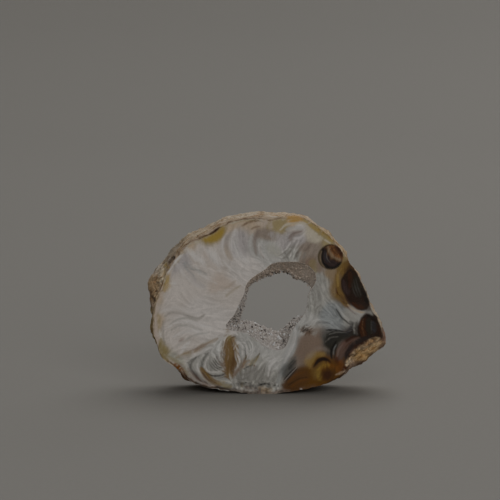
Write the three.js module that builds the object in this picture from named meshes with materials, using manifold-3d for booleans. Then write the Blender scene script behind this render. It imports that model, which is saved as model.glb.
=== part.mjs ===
// A sawn slice of plume agate, standing on edge on a small flat spot. The stone is one piece: two
// flat cut faces, a rough natural rind round the edge, a chipped corner at the lower right, and a
// hollow that goes right through and narrows on the way. A crust of quartz crystals lines the hollow.
//
// Units are millimetres. X runs along the face to the right, Y runs from the front face to the back
// face, and Z is up. The origin is under the middle of the stone, on the surface that it stands on.

import * as THREE from "three";
import { LoftGeometry } from "three/addons/geometries/LoftGeometry.js";
import { ImprovedNoise } from "three/addons/math/ImprovedNoise.js";
import { mergeVertices } from "three/addons/utils/BufferGeometryUtils.js";
import Module from "manifold-3d";

const wasm = await Module();
wasm.setup();

// Driving dimensions
const sliceThickness = 14;
const ledgeHeight = 0.45; // of the shelves in the rough rind
const rindDome = 0.2; // how much further the rind swells half-way through the slice
const throatShare = 0.65; // how far back the hollow is narrowest, as a share of the thickness
const backFlare = 0.9; // how much the hollow opens again behind that
const crustGap = 0.3; // between the stone's hollow and the crust that lines it
const crustFloor = 0.7; // depth of the crust under its crystals
const tipDepth = 1.9; // from the hollow's wall to the tips of the crystals
const crystalWidth = 2.2;
const crystalLength = 1.7;
const crystalRows = 4;
const crystalsInRow = 24;
const rindSteps = 120; // facets round the stone's edge
const hollowSteps = 48; // facets round the crust

// The edge of the front cut face: distance from the stone's left end, height above the base, and
// how far the rough rind stands out past that edge behind the face.
const faceOutline = [
  [30.5, 46.5, 0.3], [26.6, 46.3, 0.4], [23.2, 46.0, 0.4], [20.1, 45.1, 0.4], [17.5, 43.4, 0.9],
  [14.8, 42.1, 1.1], [12.2, 40.8, 1.3], [10.4, 39.5, 1.3], [8.9, 37.8, 1.6], [7.3, 36.0, 2.0],
  [6.0, 33.9, 2.2], [4.9, 32.1, 2.5], [4.3, 30.3, 2.9], [3.9, 28.6, 3.4], [3.1, 27.0, 3.3],
  [2.3, 25.7, 2.3], [1.8, 24.4, 1.1], [1.4, 22.6, 0.6], [1.3, 18.2, 0.5], [1.4, 16.0, 0.7],
  [2.1, 14.2, 0.8], [2.6, 12.3, 0.6], [3.1, 10.5, 0.2], [4.2, 9.0, 0.2], [7.6, 6.5, 0.1],
  [10.2, 3.9, 0.2], [14.1, 2.0, 0.3], [19.8, 0.9, 0.3], [24.6, 0.3, 0.2], [26.2, -0.6, 0],
  [29.4, -1.0, 0], [32.6, -0.6, 0], [34.4, 0.3, 0.1], [39.3, 0.9, 0.2], [44.3, 2.1, 0.2],
  [49.2, 4.1, 0.4], [50.8, 5.2, 0.9], [51.8, 6.7, 1.4], [52.5, 8.8, 2.7], [54.4, 11.0, 3.7],
  [57.0, 12.9, 4.0], [59.4, 14.0, 3.0], [61.0, 14.8, 1.3], [61.2, 16.6, 0.3], [60.7, 18.7, 0.2],
  [58.2, 23.1, 0.2], [56.4, 27.6, 0.2], [54.6, 31.4, 0.2], [52.1, 35.2, 0.3], [49.6, 38.7, 0.3],
  [46.9, 41.7, 0.3], [42.7, 45.0, 0.3], [40.6, 46.1, 0.2], [38.6, 46.6, 0.2], [34.4, 46.6, 0.2],
];

// The hollow where the front face cuts it, and where it is narrowest, between the crystals' tips.
const mouthOutline = [
  [32.3, 34.3], [30.2, 32.6], [28.1, 31.3], [26.6, 30.1], [25.5, 28.6], [25.1, 26.5], [24.2, 24.7],
  [23.4, 22.9], [22.5, 21.0], [21.4, 19.6], [20.2, 18.0], [21.4, 16.8], [24.0, 16.5], [26.3, 15.6],
  [28.4, 14.2], [30.2, 12.7], [32.3, 11.8], [34.4, 11.6], [35.9, 12.5], [36.7, 14.4], [37.5, 16.5],
  [38.8, 18.4], [40.1, 20.0], [41.2, 21.8], [41.7, 23.9], [41.9, 26.0], [42.7, 27.8], [43.8, 29.7],
  [43.6, 31.8], [41.9, 33.8], [39.6, 34.7], [35.9, 34.8],
];
const throatOutline = [
  [29.7, 28.7], [27.9, 27.9], [26.6, 27.0], [26.1, 25.2], [25.7, 23.4], [25.0, 21.6], [24.2, 19.7],
  [23.7, 18.3], [25.5, 18.2], [27.6, 18.0], [29.7, 17.4], [31.8, 16.4], [33.6, 15.6], [34.9, 16.4],
  [35.9, 17.5], [37.3, 18.6], [38.8, 19.6], [40.1, 20.5], [41.2, 21.6], [41.0, 23.4], [41.2, 25.2],
  [40.9, 26.8], [39.6, 27.6], [38.0, 28.6], [36.7, 29.9], [35.2, 30.6], [33.3, 30.3], [31.8, 29.6],
];
const hollowCentre = new THREE.Vector2(32, 24);

const frontY = -sliceThickness / 2;
const backY = sliceThickness / 2;
const noise = new ImprovedNoise();

// Pseudo-random numbers from 0 to 1, the same on every run.
function makeRandom(seed) {
  let state = seed;
  return () => {
    state = (state * 16807) % 2147483647;
    return state / 2147483647;
  };
}

// A closed outline's distance from the hollow's centre, as a function of the direction.
function radiusByAngle(outline) {
  const curve = new THREE.CatmullRomCurve3(
    outline.map(([x, z]) => new THREE.Vector3(x, 0, z)), true, "centripetal");
  const samples = curve.getPoints(outline.length * 12)
    .map((p) => new THREE.Vector2(p.x, p.z).sub(hollowCentre))
    .map((p) => ({ angle: p.angle(), radius: p.length() }))
    .sort((a, b) => a.angle - b.angle);
  return (angle) => {
    const above = samples.findIndex((s) => s.angle > angle);
    const next = samples[Math.max(above, 0)];
    const last = samples[above > 0 ? above - 1 : samples.length - 1];
    const span = next.angle - last.angle;
    const share = span > 1e-6 ? (angle - last.angle) / span : 0;
    return THREE.MathUtils.lerp(last.radius, next.radius, share);
  };
}

const mouthRadius = radiusByAngle(mouthOutline);
const throatRadius = radiusByAngle(throatOutline);

// The hollow's wall: it draws in from the mouth to the throat, then opens a little to the back.
function hollowRadius(angle, depthShare) {
  const mouth = mouthRadius(angle);
  const throat = throatRadius(angle) + tipDepth;
  const inward = THREE.MathUtils.smoothstep(depthShare, 0, throatShare);
  const outward = backFlare * THREE.MathUtils.smoothstep(depthShare, throatShare, 1);
  return THREE.MathUtils.lerp(mouth, throat, inward) + outward;
}

// Turns a smooth swelling into flat shelves with short steps between them.
function ledges(swelling) {
  const shelf = Math.floor(swelling / ledgeHeight);
  const step = THREE.MathUtils.smoothstep(swelling / ledgeHeight - shelf, 0.25, 0.75);
  return ledgeHeight * (shelf + step);
}

// Where the rind lies at one place round the edge and one depth. It rises from the cut edge, is
// domed, ledged and pitted like the outside of a nodule, and never goes below the surface it
// stands on.
function rindPoint(edge, angle, depthShare) {
  const y = THREE.MathUtils.lerp(frontY, backY, depthShare);
  const rise = edge.y * THREE.MathUtils.smoothstep(depthShare, 0, 0.3);
  const dome = rindDome * Math.sin(Math.PI * depthShare);
  const behindCut = THREE.MathUtils.smoothstep(depthShare, 0, 0.2);
  const clearOfBase = THREE.MathUtils.smoothstep(edge.z, 0, 2.5);
  const lumps = 1.1 * noise.noise(edge.x * 0.19, y * 0.21, edge.z * 0.19);
  const pits = 0.5 * noise.noise(edge.x * 0.47 + 9, y * 0.5, edge.z * 0.47);
  const out = rise + dome + behindCut * clearOfBase * (ledges(lumps) + pits);
  const taper = depthShare * depthShare; // the nodule leans left and narrows to the back
  const x = edge.x + out * Math.cos(angle) - taper * (1.0 + 0.03 * (edge.x - hollowCentre.x));
  const z = (edge.z + out * Math.sin(angle)) * (1 - 0.025 * taper);
  return new THREE.Vector3(x, y, Math.max(z, 0));
}

// A ring of points round the hollow, at one depth, from a radius for each angle.
function ring(angles, y, radiusOf) {
  return angles.map((angle) => {
    const radius = radiusOf(angle);
    return new THREE.Vector3(
      hollowCentre.x + radius * Math.cos(angle), y, hollowCentre.y + radius * Math.sin(angle));
  });
}

// A plain geometry that shares its corners, which is what the solids are made from.
function welded(geometry) {
  const plain = new THREE.BufferGeometry().copy(geometry);
  plain.deleteAttribute("normal");
  plain.deleteAttribute("uv");
  return mergeVertices(plain, 1e-4);
}

// Points round the edge, clockwise seen from the front so that the skin faces out.
const edgeCurve = new THREE.CatmullRomCurve3(
  faceOutline.map(([x, z, rind]) => new THREE.Vector3(x, rind, z)), true, "centripetal");
const edgePoints = edgeCurve.getSpacedPoints(rindSteps).slice(0, rindSteps).reverse();
const edgeAngles = edgePoints.map(
  (p) => new THREE.Vector2(p.x, p.z).sub(hollowCentre).angle());

// The stone: one skin that runs over the front face, round the rind, over the back face and back
// through the hollow.
function buildStone() {
  const rindDepths = [0, 0.06, 0.16, 0.3, 0.44, 0.58, 0.72, 0.86, 0.95, 1];
  const wallDepths = [1, 0.82, throatShare, 0.48, 0.3, 0.14, 0];
  const rind = rindDepths.map((depth) =>
    edgePoints.map((edge, i) => rindPoint(edge, edgeAngles[i], depth)));
  const wall = wallDepths.map((depth) => ring(
    edgeAngles, THREE.MathUtils.lerp(frontY, backY, depth), (a) => hollowRadius(a, depth)));
  const mouth = wall[wall.length - 1];
  return welded(new LoftGeometry([mouth, ...rind, ...wall]));
}

function solidOf(geometry) {
  return new wasm.Manifold(new wasm.Mesh({
    numProp: 3,
    vertProperties: geometry.attributes.position.array,
    triVerts: new Uint32Array(geometry.index.array),
  }));
}

function geometryOf(solid) {
  const mesh = solid.getMesh();
  const geometry = new THREE.BufferGeometry();
  geometry.setAttribute("position", new THREE.BufferAttribute(mesh.vertProperties, 3));
  geometry.setIndex(new THREE.BufferAttribute(mesh.triVerts, 1));
  return geometry;
}

// A solid that fills the hollow, clear of the stone's wall, and stands out past each cut face.
function hollowFill(clearance, past) {
  const angles = Array.from(
    { length: hollowSteps }, (v, i) => 2 * Math.PI * (1 - (i + 0.5) / hollowSteps));
  const depths = [0, 0.14, 0.3, 0.48, throatShare, 1];
  const rings = depths.map((depth) => {
    const y = THREE.MathUtils.lerp(frontY - past, backY + past, depth);
    return ring(angles, y, (a) => hollowRadius(a, depth) - clearance);
  });
  return solidOf(welded(new LoftGeometry(rings, { capStart: true, capEnd: true })));
}

// One six-sided quartz point, its base sunk in the crust and its tip in the hollow.
function crystal(angle, depthShare, random) {
  const width = crystalWidth * (0.75 + 0.5 * random());
  const length = crystalLength * (0.7 + 0.6 * random());
  const point = new THREE.ConeGeometry(width / 2, length, 6, 1);
  point.translate(0, length / 2, 0);
  const inward = new THREE.Vector3(-Math.cos(angle), 0, -Math.sin(angle));
  inward.add(new THREE.Vector3(random() - 0.5, random() - 0.7, random() - 0.5).multiplyScalar(0.9));
  const turn = new THREE.Quaternion().setFromUnitVectors(
    new THREE.Vector3(0, 1, 0), inward.normalize());
  point.rotateY(random() * Math.PI);
  point.applyQuaternion(turn);
  const seat = hollowRadius(angle, depthShare) - crustGap - crustFloor / 2;
  point.translate(
    hollowCentre.x + seat * Math.cos(angle),
    THREE.MathUtils.lerp(frontY, backY, depthShare),
    hollowCentre.y + seat * Math.sin(angle));
  return solidOf(welded(point));
}

// The crust: a floor that follows the hollow's wall, with crystals fused to it, cut by the same two
// faces as the stone.
function buildCrust() {
  const random = makeRandom(4871);
  const envelope = hollowFill(crustGap, 0);
  const inside = hollowFill(crustGap + crustFloor, 0.5);
  let crust = envelope.subtract(inside);
  for (let row = 0; row < crystalRows; row += 1) {
    for (let i = 0; i < crystalsInRow; i += 1) {
      const angle = ((i + 0.5 * (row % 2) + 0.5 * random()) / crystalsInRow) * 2 * Math.PI;
      const depthShare = (row + 0.25 + 0.5 * random()) / crystalRows;
      crust = crust.add(crystal(angle % (2 * Math.PI), depthShare, random));
    }
  }
  return geometryOf(crust.intersect(envelope));
}

const stone = new THREE.Mesh(
  buildStone(),
  new THREE.MeshStandardMaterial({ color: 0xd8d0c8, roughness: 0.25, metalness: 0 }));
stone.name = "agate_slice";

const crust = new THREE.Mesh(
  buildCrust(),
  new THREE.MeshStandardMaterial({ color: 0xcbbfb4, roughness: 0.35, metalness: 0 }));
crust.name = "quartz_crust";

// The outlines are measured from the stone's left end, so the pieces move to put the origin under
// the middle of the whole stone.
stone.geometry.computeBoundingBox();
const middle = stone.geometry.boundingBox.getCenter(new THREE.Vector3());
const group = new THREE.Group();
for (const mesh of [stone, crust]) {
  mesh.position.set(-middle.x, -middle.y, 0);
  group.add(mesh);
}

export default group;
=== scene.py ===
import math

import bmesh
import bpy
import numpy as np
from mathutils import Matrix, Vector, noise


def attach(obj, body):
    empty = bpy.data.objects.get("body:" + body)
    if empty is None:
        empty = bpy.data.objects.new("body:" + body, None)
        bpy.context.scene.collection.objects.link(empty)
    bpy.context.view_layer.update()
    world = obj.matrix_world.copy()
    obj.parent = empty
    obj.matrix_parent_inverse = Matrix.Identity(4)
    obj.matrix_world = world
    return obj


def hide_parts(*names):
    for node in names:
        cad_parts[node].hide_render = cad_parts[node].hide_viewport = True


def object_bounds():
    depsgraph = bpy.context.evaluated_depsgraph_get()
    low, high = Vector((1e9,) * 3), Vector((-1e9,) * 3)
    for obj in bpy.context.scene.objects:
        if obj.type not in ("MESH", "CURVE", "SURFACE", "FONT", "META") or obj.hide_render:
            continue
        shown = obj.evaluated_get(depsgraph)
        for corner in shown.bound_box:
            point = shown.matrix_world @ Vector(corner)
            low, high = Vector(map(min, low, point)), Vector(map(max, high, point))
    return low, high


# A sawn slice of plume agate: the stone with its markings, and the druse that lines its hollow.
# Sizes are in millimetres, x along the cut face from the stone's middle, z up from the floor.

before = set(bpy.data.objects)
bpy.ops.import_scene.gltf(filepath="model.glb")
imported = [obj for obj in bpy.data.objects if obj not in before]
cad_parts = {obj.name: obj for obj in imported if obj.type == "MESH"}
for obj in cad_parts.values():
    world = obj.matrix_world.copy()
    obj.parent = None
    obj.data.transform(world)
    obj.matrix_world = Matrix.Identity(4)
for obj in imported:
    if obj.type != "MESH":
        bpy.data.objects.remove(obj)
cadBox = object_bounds()
mm = 0.001
print("frame loaded")


def addObject(name, data):
    thing = bpy.data.objects.new(name, data)
    bpy.context.scene.collection.objects.link(thing)
    return thing


def meshOf(bm, name):
    mesh = bpy.data.meshes.new(name)
    bm.to_mesh(mesh)
    bm.free()
    return mesh


# Material nodes

def nodeMaterial(name):
    material = bpy.data.materials.new(name)
    material.use_nodes = True
    nodes = material.node_tree.nodes
    links = material.node_tree.links

    def fill(node, inputs):
        # Each input gets a value, or a link from another node
        for key, value in inputs.items():
            if isinstance(value, bpy.types.NodeSocket):
                links.new(value, node.inputs[key])
            else:
                node.inputs[key].default_value = value

    def add(kind, settings=None, inputs=None):
        node = nodes.new(kind)
        for key, value in (settings or {}).items():
            setattr(node, key, value)
        fill(node, inputs or {})
        return node

    def dress(inputs):
        fill(nodes["Principled BSDF"], inputs)

    return material, add, dress


def grains(add, place, scale, detail, roughness=0.5):
    node = add("ShaderNodeTexNoise",
               inputs={"Vector": place, "Scale": scale, "Detail": detail, "Roughness": roughness})
    return node.outputs["Fac"]


def spread(add, value, low, high, start=0.3, end=0.7):
    # Turns a value between start and end into one between low and high
    node = add("ShaderNodeMapRange",
               inputs={"Value": value, "From Min": start, "From Max": end, "To Min": low, "To Max": high})
    return node.outputs["Result"]


def multiplied(add, first, second):
    node = add("ShaderNodeMix", {"data_type": "RGBA", "blend_type": "MULTIPLY"},
               {"Factor": 1.0, "A": first, "B": second})
    return node.outputs["Result"]


# Camera and studio

studio = {
    "lookAt": (0, 0, 23.5),  # the middle of the slice
    "distance": 450,
    "elevation": 7.5,
    "fieldOfView": 16.73,
    "turnLeft": 0.573,  # the stone sits a little right of the frame's middle
    "turnUp": 1.734,  # and below it
    "floorRadius": 500,
    "innerShare": 0.4,  # a ring of points inside the floor
    "bendRadius": 1700,
    "bendSteps": 8,
    "roundSteps": 64,
    "wallHeight": 2300,
    "grey": (0.315, 0.305, 0.285),
    "paperGrain": (0.97, 1.03),
    "paperScale": 900,
    "airTone": (0.96, 0.97, 1, 1),
    "airLight": 0.14,
    # Name, place, what it looks at, size, power and colour
    "lamps": [
        ("softbox_above", (260, 560, 1350), (0, 0, 10), (1500, 1200), 8.4, (1, 0.985, 0.96)),
        ("fill_front", (260, -1380, 560), (0, 0, 24), (1400, 900), 9.2, (1, 0.99, 0.97)),
        ("fill_back", (700, 1100, 700), (0, 0, 24), (900, 500), 1.0, (1, 0.99, 0.97)),
    ],
}


def addCamera():
    camera = addObject("camera", bpy.data.cameras.new("camera"))
    rise = math.radians(studio["elevation"])
    target = Vector(studio["lookAt"])
    place = target + studio["distance"] * Vector((0, -math.cos(rise), math.sin(rise)))
    camera.location = place * mm
    tilt = math.radians(90 - studio["elevation"] + studio["turnUp"])
    camera.rotation_euler = (tilt, 0, math.radians(studio["turnLeft"]))
    camera.data.angle = math.radians(studio["fieldOfView"])
    bpy.context.scene.camera = camera


def addLamp(name, place, target, size, power, colour):
    lamp = bpy.data.lights.new(name, "AREA")
    lamp.shape = "RECTANGLE"
    lamp.size = size[0] * mm
    lamp.size_y = size[1] * mm
    lamp.energy = power
    lamp.color = colour
    thing = addObject(name, lamp)
    thing.location = Vector(place) * mm
    away = Vector(place) - Vector(target)
    thing.rotation_euler = away.to_track_quat("Z", "Y").to_euler()


def greyPaper():
    material, add, dress = nodeMaterial("grey_paper")
    place = add("ShaderNodeTexCoord").outputs["Object"]
    tone = spread(add, grains(add, place, studio["paperScale"], 2), *studio["paperGrain"], 0, 1)
    dress({
        "Base Color": multiplied(add, (*studio["grey"], 1), tone),
        "Roughness": 0.9,
        "Specular IOR Level": 0.15,
    })
    return material


def addSheet():
    # One seamless sheet: a round floor whose edge bends up into a wall on every side
    bm = bmesh.new()
    flat, bend, top = studio["floorRadius"], studio["bendRadius"], studio["wallHeight"]
    profile = [(0, 0), (flat * studio["innerShare"], 0), (flat, 0)]
    for step in range(1, studio["bendSteps"] + 1):
        turn = math.radians(90) * step / studio["bendSteps"]
        profile.append((flat + bend * math.sin(turn), bend - bend * math.cos(turn)))
    profile.append((flat + bend, top))
    verts = [bm.verts.new((r * mm, 0, z * mm)) for r, z in profile]
    edges = [bm.edges.new(pair) for pair in zip(verts, verts[1:])]
    bmesh.ops.spin(bm, geom=verts + edges, axis=(0, 0, 1), cent=(0, 0, 0), dvec=(0, 0, 0),
                   angle=math.radians(360), steps=studio["roundSteps"], use_merge=True, use_duplicate=False)
    bmesh.ops.remove_doubles(bm, verts=bm.verts, dist=1e-6)
    bmesh.ops.recalc_face_normals(bm, faces=bm.faces)
    for face in bm.faces:
        face.smooth = True
    sheet = addObject("studio_sheet", meshOf(bm, "studio_sheet"))
    sheet.data.materials.append(greyPaper())


def addStudio():
    addSheet()
    for lamp in studio["lamps"]:
        addLamp(*lamp)
    world = bpy.data.worlds.new("studio_air")
    bpy.context.scene.world = world
    world.use_nodes = True
    air = world.node_tree.nodes["Background"]
    air.inputs["Color"].default_value = studio["airTone"]
    air.inputs["Strength"].default_value = studio["airLight"]


addCamera()
addStudio()
print("camera and studio ready")


# Markings. They are painted by listed areas and strands on a fine sheet of points that lies
# in the plane of the cut face, and read off at the mesh's own points afterwards.

paper = {
    "left": -32.4,
    "right": 32.4,
    "bottom": -0.9,
    "top": 48.9,
    "step": 0.125,
}
paperX = np.arange(paper["left"], paper["right"], paper["step"])
paperZ = np.arange(paper["bottom"], paper["top"], paper["step"])
gridX, gridZ = np.meshgrid(paperX, paperZ)

# One seed for each layer of random blotches
seeds = {
    "wander": (11, 12),
    "fineFibres": 21,
    "broadFibres": 22,
    "lobes": 23,
    "ground": (31, 32),
    "rim": (51, 52),
    "rimDashes": (60, 90),
    "crumbs": (71, 72),
}

palette = {
    "warmWhite": (0.70, 0.635, 0.585),
    "pinkWhite": (0.74, 0.685, 0.645),
    "milk": (0.84, 0.80, 0.77),
    "blush": (0.64, 0.545, 0.475),
    "lilac": (0.53, 0.49, 0.485),
    "coolWhite": (0.56, 0.55, 0.525),
    "paleGrey": (0.44, 0.43, 0.40),
    "blueGrey": (0.36, 0.38, 0.385),
    "taupe": (0.37, 0.31, 0.26),
    "umber": (0.15, 0.10, 0.08),
    "greenGrey": (0.48, 0.47, 0.40),
    "grey": (0.27, 0.255, 0.23),
    "slate": (0.14, 0.135, 0.125),
    "smoke": (0.036, 0.034, 0.03),
    "mauve": (0.30, 0.235, 0.205),
    "tan": (0.37, 0.28, 0.18),
    "beige": (0.29, 0.215, 0.165),
    "olive": (0.35, 0.29, 0.14),
    "oliveDark": (0.14, 0.11, 0.05),
    "oliveGold": (0.45, 0.37, 0.20),
    "ochre": (0.46, 0.33, 0.07),
    "mustard": (0.52, 0.38, 0.13),
    "amber": (0.60, 0.37, 0.12),
    "gold": (0.25, 0.155, 0.045),
    "honey": (0.17, 0.075, 0.008),
    "orange": (0.24, 0.085, 0.012),
    "burnt": (0.085, 0.022, 0.003),
    "brown": (0.13, 0.06, 0.02),
    "redBrown": (0.055, 0.014, 0.004),
    "darkBrown": (0.028, 0.010, 0.003),
    "black": (0.005, 0.003, 0.002),
    "violetBlack": (0.030, 0.018, 0.016),
    "violet": (0.065, 0.038, 0.038),
    "greenBlack": (0.026, 0.023, 0.014),
    "copper": (0.30, 0.135, 0.05),
    "cream": (0.62, 0.50, 0.37),
    "ivory": (0.66, 0.60, 0.48),
    "buff": (0.56, 0.43, 0.28),
    "rosy": (0.20, 0.11, 0.085),
    "navy": (0.040, 0.040, 0.048),
}


def softStep(value, low, high):
    share = np.clip((value - low) / (high - low), 0, 1)
    return share * share * (3 - 2 * share)


def smoothLine(points, closed=False, perSpan=5):
    # A smooth line through given points
    spots = np.array(points, float)
    if closed:
        spots = np.vstack([spots[-1], spots, spots[:2]])
    else:
        spots = np.vstack([2 * spots[0] - spots[1], spots, 2 * spots[-1] - spots[-2]])
    line = []
    for a, b, c, d in zip(spots, spots[1:], spots[2:], spots[3:]):
        for share in np.arange(perSpan) / perSpan:
            line.append(0.5 * (2 * b + (c - a) * share + (2 * a - 5 * b + 4 * c - d) * share ** 2
                               + (3 * b - a - 3 * c + d) * share ** 3))
    line.append(spots[-2])
    return np.array(line)


def windowRound(line, margin):
    # The part of the sheet that a line lies in: its rows and columns, and its points
    low, high = line.min(axis=0) - margin, line.max(axis=0) + margin
    columns = slice(*np.searchsorted(paperX, (low[0], high[0])))
    rows = slice(*np.searchsorted(paperZ, (low[1], high[1])))
    return (rows, columns), gridX[rows, columns], gridZ[rows, columns]


def distanceTo(line, x, z):
    # Distance to the nearest point of a line, and how far along the line that point is, 0 to 1
    nearest = np.full(x.shape, np.inf)
    along = np.zeros(x.shape)
    spans = len(line) - 1
    for i in range(spans):
        start, run = line[i], line[i + 1] - line[i]
        share = np.clip(((x - start[0]) * run[0] + (z - start[1]) * run[1]) / max(run @ run, 1e-9), 0, 1)
        gap = np.hypot(x - start[0] - share * run[0], z - start[1] - share * run[1])
        closer = gap < nearest
        nearest = np.where(closer, gap, nearest)
        along = np.where(closer, (i + share) / spans, along)
    return nearest, along


def insideOf(line, x, z):
    inside = np.zeros(x.shape, bool)
    for (ax, az), (bx, bz) in zip(line, np.roll(line, -1, axis=0)):
        if az != bz:
            crosses = ((az > z) != (bz > z)) & (x < (bx - ax) * (z - az) / (bz - az) + ax)
            inside ^= crosses
    return inside


def outsideGap(line, x, z):
    # Distance to a closed line, negative inside it
    gap, _ = distanceTo(np.vstack([line, line[:1]]), x, z)
    return np.where(insideOf(line, x, z), -gap, gap)


def cloud(cell, seed):
    # Soft random blotches about one cell wide, from 0 to 1
    rows, columns = gridX.shape
    size = cell / paper["step"]
    random = np.random.default_rng(seed)
    dots = random.random((int(rows / size) + 3, int(columns / size) + 3))
    v, u = np.arange(rows) / size, np.arange(columns) / size
    i, j = v.astype(int), u.astype(int)
    a, b = softStep(v - i, 0, 1)[:, None], softStep(u - j, 0, 1)[None, :]
    low = dots[np.ix_(i, j)] * (1 - b) + dots[np.ix_(i, j + 1)] * b
    high = dots[np.ix_(i + 1, j)] * (1 - b) + dots[np.ix_(i + 1, j + 1)] * b
    return low * (1 - a) + high * a


# The way that the plumes' fibres run, as given guide lines

fibreGuides = [
    [(-25.8, 34.7), (-26.8, 27.3), (-27.9, 19.4), (-27.1, 12.9)],
    [(-23.2, 34.2), (-21.9, 31.3), (-19, 27.3), (-13.5, 24.7)],
    [(-27.9, 21.5), (-24.8, 21.8), (-20.1, 21), (-16.2, 21), (-10.2, 22.6)],
    [(-27.1, 16.8), (-24, 18.9), (-20.6, 18.4), (-16.2, 16.8), (-11.7, 16.3)],
    [(-23.7, 11), (-21.6, 12.9), (-18.5, 14.7), (-14.3, 15.5), (-11.2, 15.8)],
    [(-22.7, 8.4), (-19.5, 10.2), (-16.2, 12.1), (-12.8, 14.7)],
    [(-20.1, 7.6), (-19.3, 5.5), (-16.7, 3.2), (-12.8, 2.1)],
    [(-17.2, 10), (-17.2, 6.8), (-14.9, 4.2), (-11.7, 3.2)],
    [(-15.4, 10), (-15.4, 7.4), (-13.8, 5.5), (-11.2, 5.3)],
    [(-13.5, 10.2), (-12.8, 8.4), (-11.2, 7.4)],
    [(-11.2, 14.7), (-10.7, 11.6), (-9.6, 8.4), (-9.1, 5)],
    [(-8.1, 12.9), (-7.6, 10.2), (-7.3, 7.6), (-8.6, 5.3)],
    [(-10.7, 14.7), (-9.1, 16), (-7, 15.2), (-5.5, 12.9), (-5.2, 9.7), (-6.3, 7.4)],
    [(6, 12.9), (4.4, 8.4), (2.3, 2.6)],
    [(3.9, 11), (1.3, 6.8), (-0.3, 3.2)],
    [(8.6, 20), (7.8, 15.5), (6, 11.6), (4.2, 6.8), (2.6, 2.1)],
    [(-21.6, 37.8), (-21.1, 33.1), (-18.5, 29.4), (-13.5, 26.8), (-8.3, 25.2)],
    [(-18.5, 38.4), (-16.2, 34.7), (-11.7, 32), (-7, 28.9)],
    [(-14.3, 38.4), (-12.8, 35.7), (-9.1, 32.6), (-5.5, 29.4)],
    [(-10.2, 42), (-10.2, 37.8), (-8.1, 34.7), (-4.4, 32)],
    [(-7, 44.1), (-7.6, 39.1), (-5.5, 35.2), (-2.3, 32.6)],
    [(-4.4, 45.2), (-5.5, 40.5), (-3.9, 36.3), (-0.8, 34.2)],
    [(-2.3, 43.6), (-3.4, 39.9), (-2.3, 36.3), (0.3, 34.7)],
    [(1.3, 44.1), (0.3, 40.5), (1.3, 36.8), (3.4, 35.2)],
    [(9.1, 42.8), (6, 41.5), (4.4, 38.9), (4.9, 35.2)],
    [(10.7, 40.5), (8.3, 38.1), (7.3, 35.2)],
    [(12.2, 28.9), (12.8, 24.7), (11.7, 20.5), (9.1, 16.8)],
    [(15.4, 32.6), (15.9, 27.3), (18, 22.6), (21.6, 18.9)],
    [(14.3, 24.7), (16.9, 21.5), (20.3, 18.9), (22.1, 17.9)],
    [(13.3, 20), (16.9, 19.4), (21.1, 17.9)],
    [(14.3, 15.8), (13.3, 11.6), (9.6, 6.8), (6.5, 2.6)],
    [(19, 15.2), (16.9, 11.6), (17.5, 8.4)],
]

fibres = {
    "guideCore": 0.6,  # keeps a guide's pull from growing without end close to it
    "wander": 0.7,  # how much the fibres waver, in radians
    "wanderCells": (3.6, 1.3),
    "wanderShares": (1.3, 0.7),
    "fineCell": 0.2,
    "fineReach": 3.0,  # how far the blotches are smeared out
    "broadCell": 0.6,
    "broadReach": 5.0,
    "range": 2.5,  # how far a fibre's tone may lie from the mean, in standard deviations
    "lobeCell": 2.0,
    "lobeReach": 3.5,
    "lobeFray": 0.25,
    "lobeCount": 0.85,  # lobes to one standard deviation of the smeared blotches
    "lobeCrisp": 0.16,  # share of a lobe that its crisp edge takes up
}


def flowDirections():
    # Blends the guide lines' directions, the nearer the stronger, without regard to their sense
    coarseX, coarseZ = gridX[::2, ::2], gridZ[::2, ::2]
    cosine, sine = np.zeros(coarseX.shape), np.zeros(coarseX.shape)
    for guide in fibreGuides:
        line = smoothLine(guide, perSpan=3)
        for start, end in zip(line, line[1:]):
            run = end - start
            middle = (start + end) / 2
            angle = 2 * math.atan2(run[1], run[0])
            near = (coarseX - middle[0]) ** 2 + (coarseZ - middle[1]) ** 2
            weight = math.hypot(*run) / (near + fibres["guideCore"]) ** 2
            cosine += weight * math.cos(angle)
            sine += weight * math.sin(angle)
    angle = np.arctan2(sine, cosine) / 2
    rows, columns = gridX.shape
    angle = angle.repeat(2, axis=0).repeat(2, axis=1)[:rows, :columns]
    waver = -1
    for share, cell, seed in zip(fibres["wanderShares"], fibres["wanderCells"], seeds["wander"]):
        waver = waver + share * cloud(cell, seed)
    angle = angle + fibres["wander"] * waver
    return np.cos(angle), np.sin(angle)


flowX, flowZ = flowDirections()


def combed(cell, seed, reach):
    # Smears blotches along the flow, so that they turn into strands
    texture = cloud(cell, seed)
    rows, columns = texture.shape
    total = texture.copy()
    for way in (1, -1):
        u, v = np.meshgrid(np.arange(columns, dtype=float), np.arange(rows, dtype=float))
        du, dv = way * flowX, way * flowZ
        for _ in range(int(reach / 2 / paper["step"])):
            u += du
            v += dv
            i = np.clip(np.rint(v), 0, rows - 1).astype(int)
            j = np.clip(np.rint(u), 0, columns - 1).astype(int)
            nextU, nextV = flowX[i, j], flowZ[i, j]
            flip = np.where(nextU * du + nextV * dv < 0, -1, 1)
            du, dv = nextU * flip, nextV * flip
            total += texture[i, j]
    return np.clip((total - total.mean()) / total.std(), -fibres["range"], fibres["range"])


def lobeEdges():
    # Overlapping lobes: each is bright at a crisp edge and fades away from it
    field = combed(fibres["lobeCell"], seeds["lobes"], fibres["lobeReach"])
    phase = ((field + fibres["lobeFray"] * broadFibres) * fibres["lobeCount"]) % 1
    crisp = fibres["lobeCrisp"]
    return np.where(phase < crisp, phase / crisp, (1 - phase) / (1 - crisp)) - 0.5


fineFibres = combed(fibres["fineCell"], seeds["fineFibres"], fibres["fineReach"])
broadFibres = combed(fibres["broadCell"], seeds["broadFibres"], fibres["broadReach"])
lobes = lobeEdges()
print("fibres combed")


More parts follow.
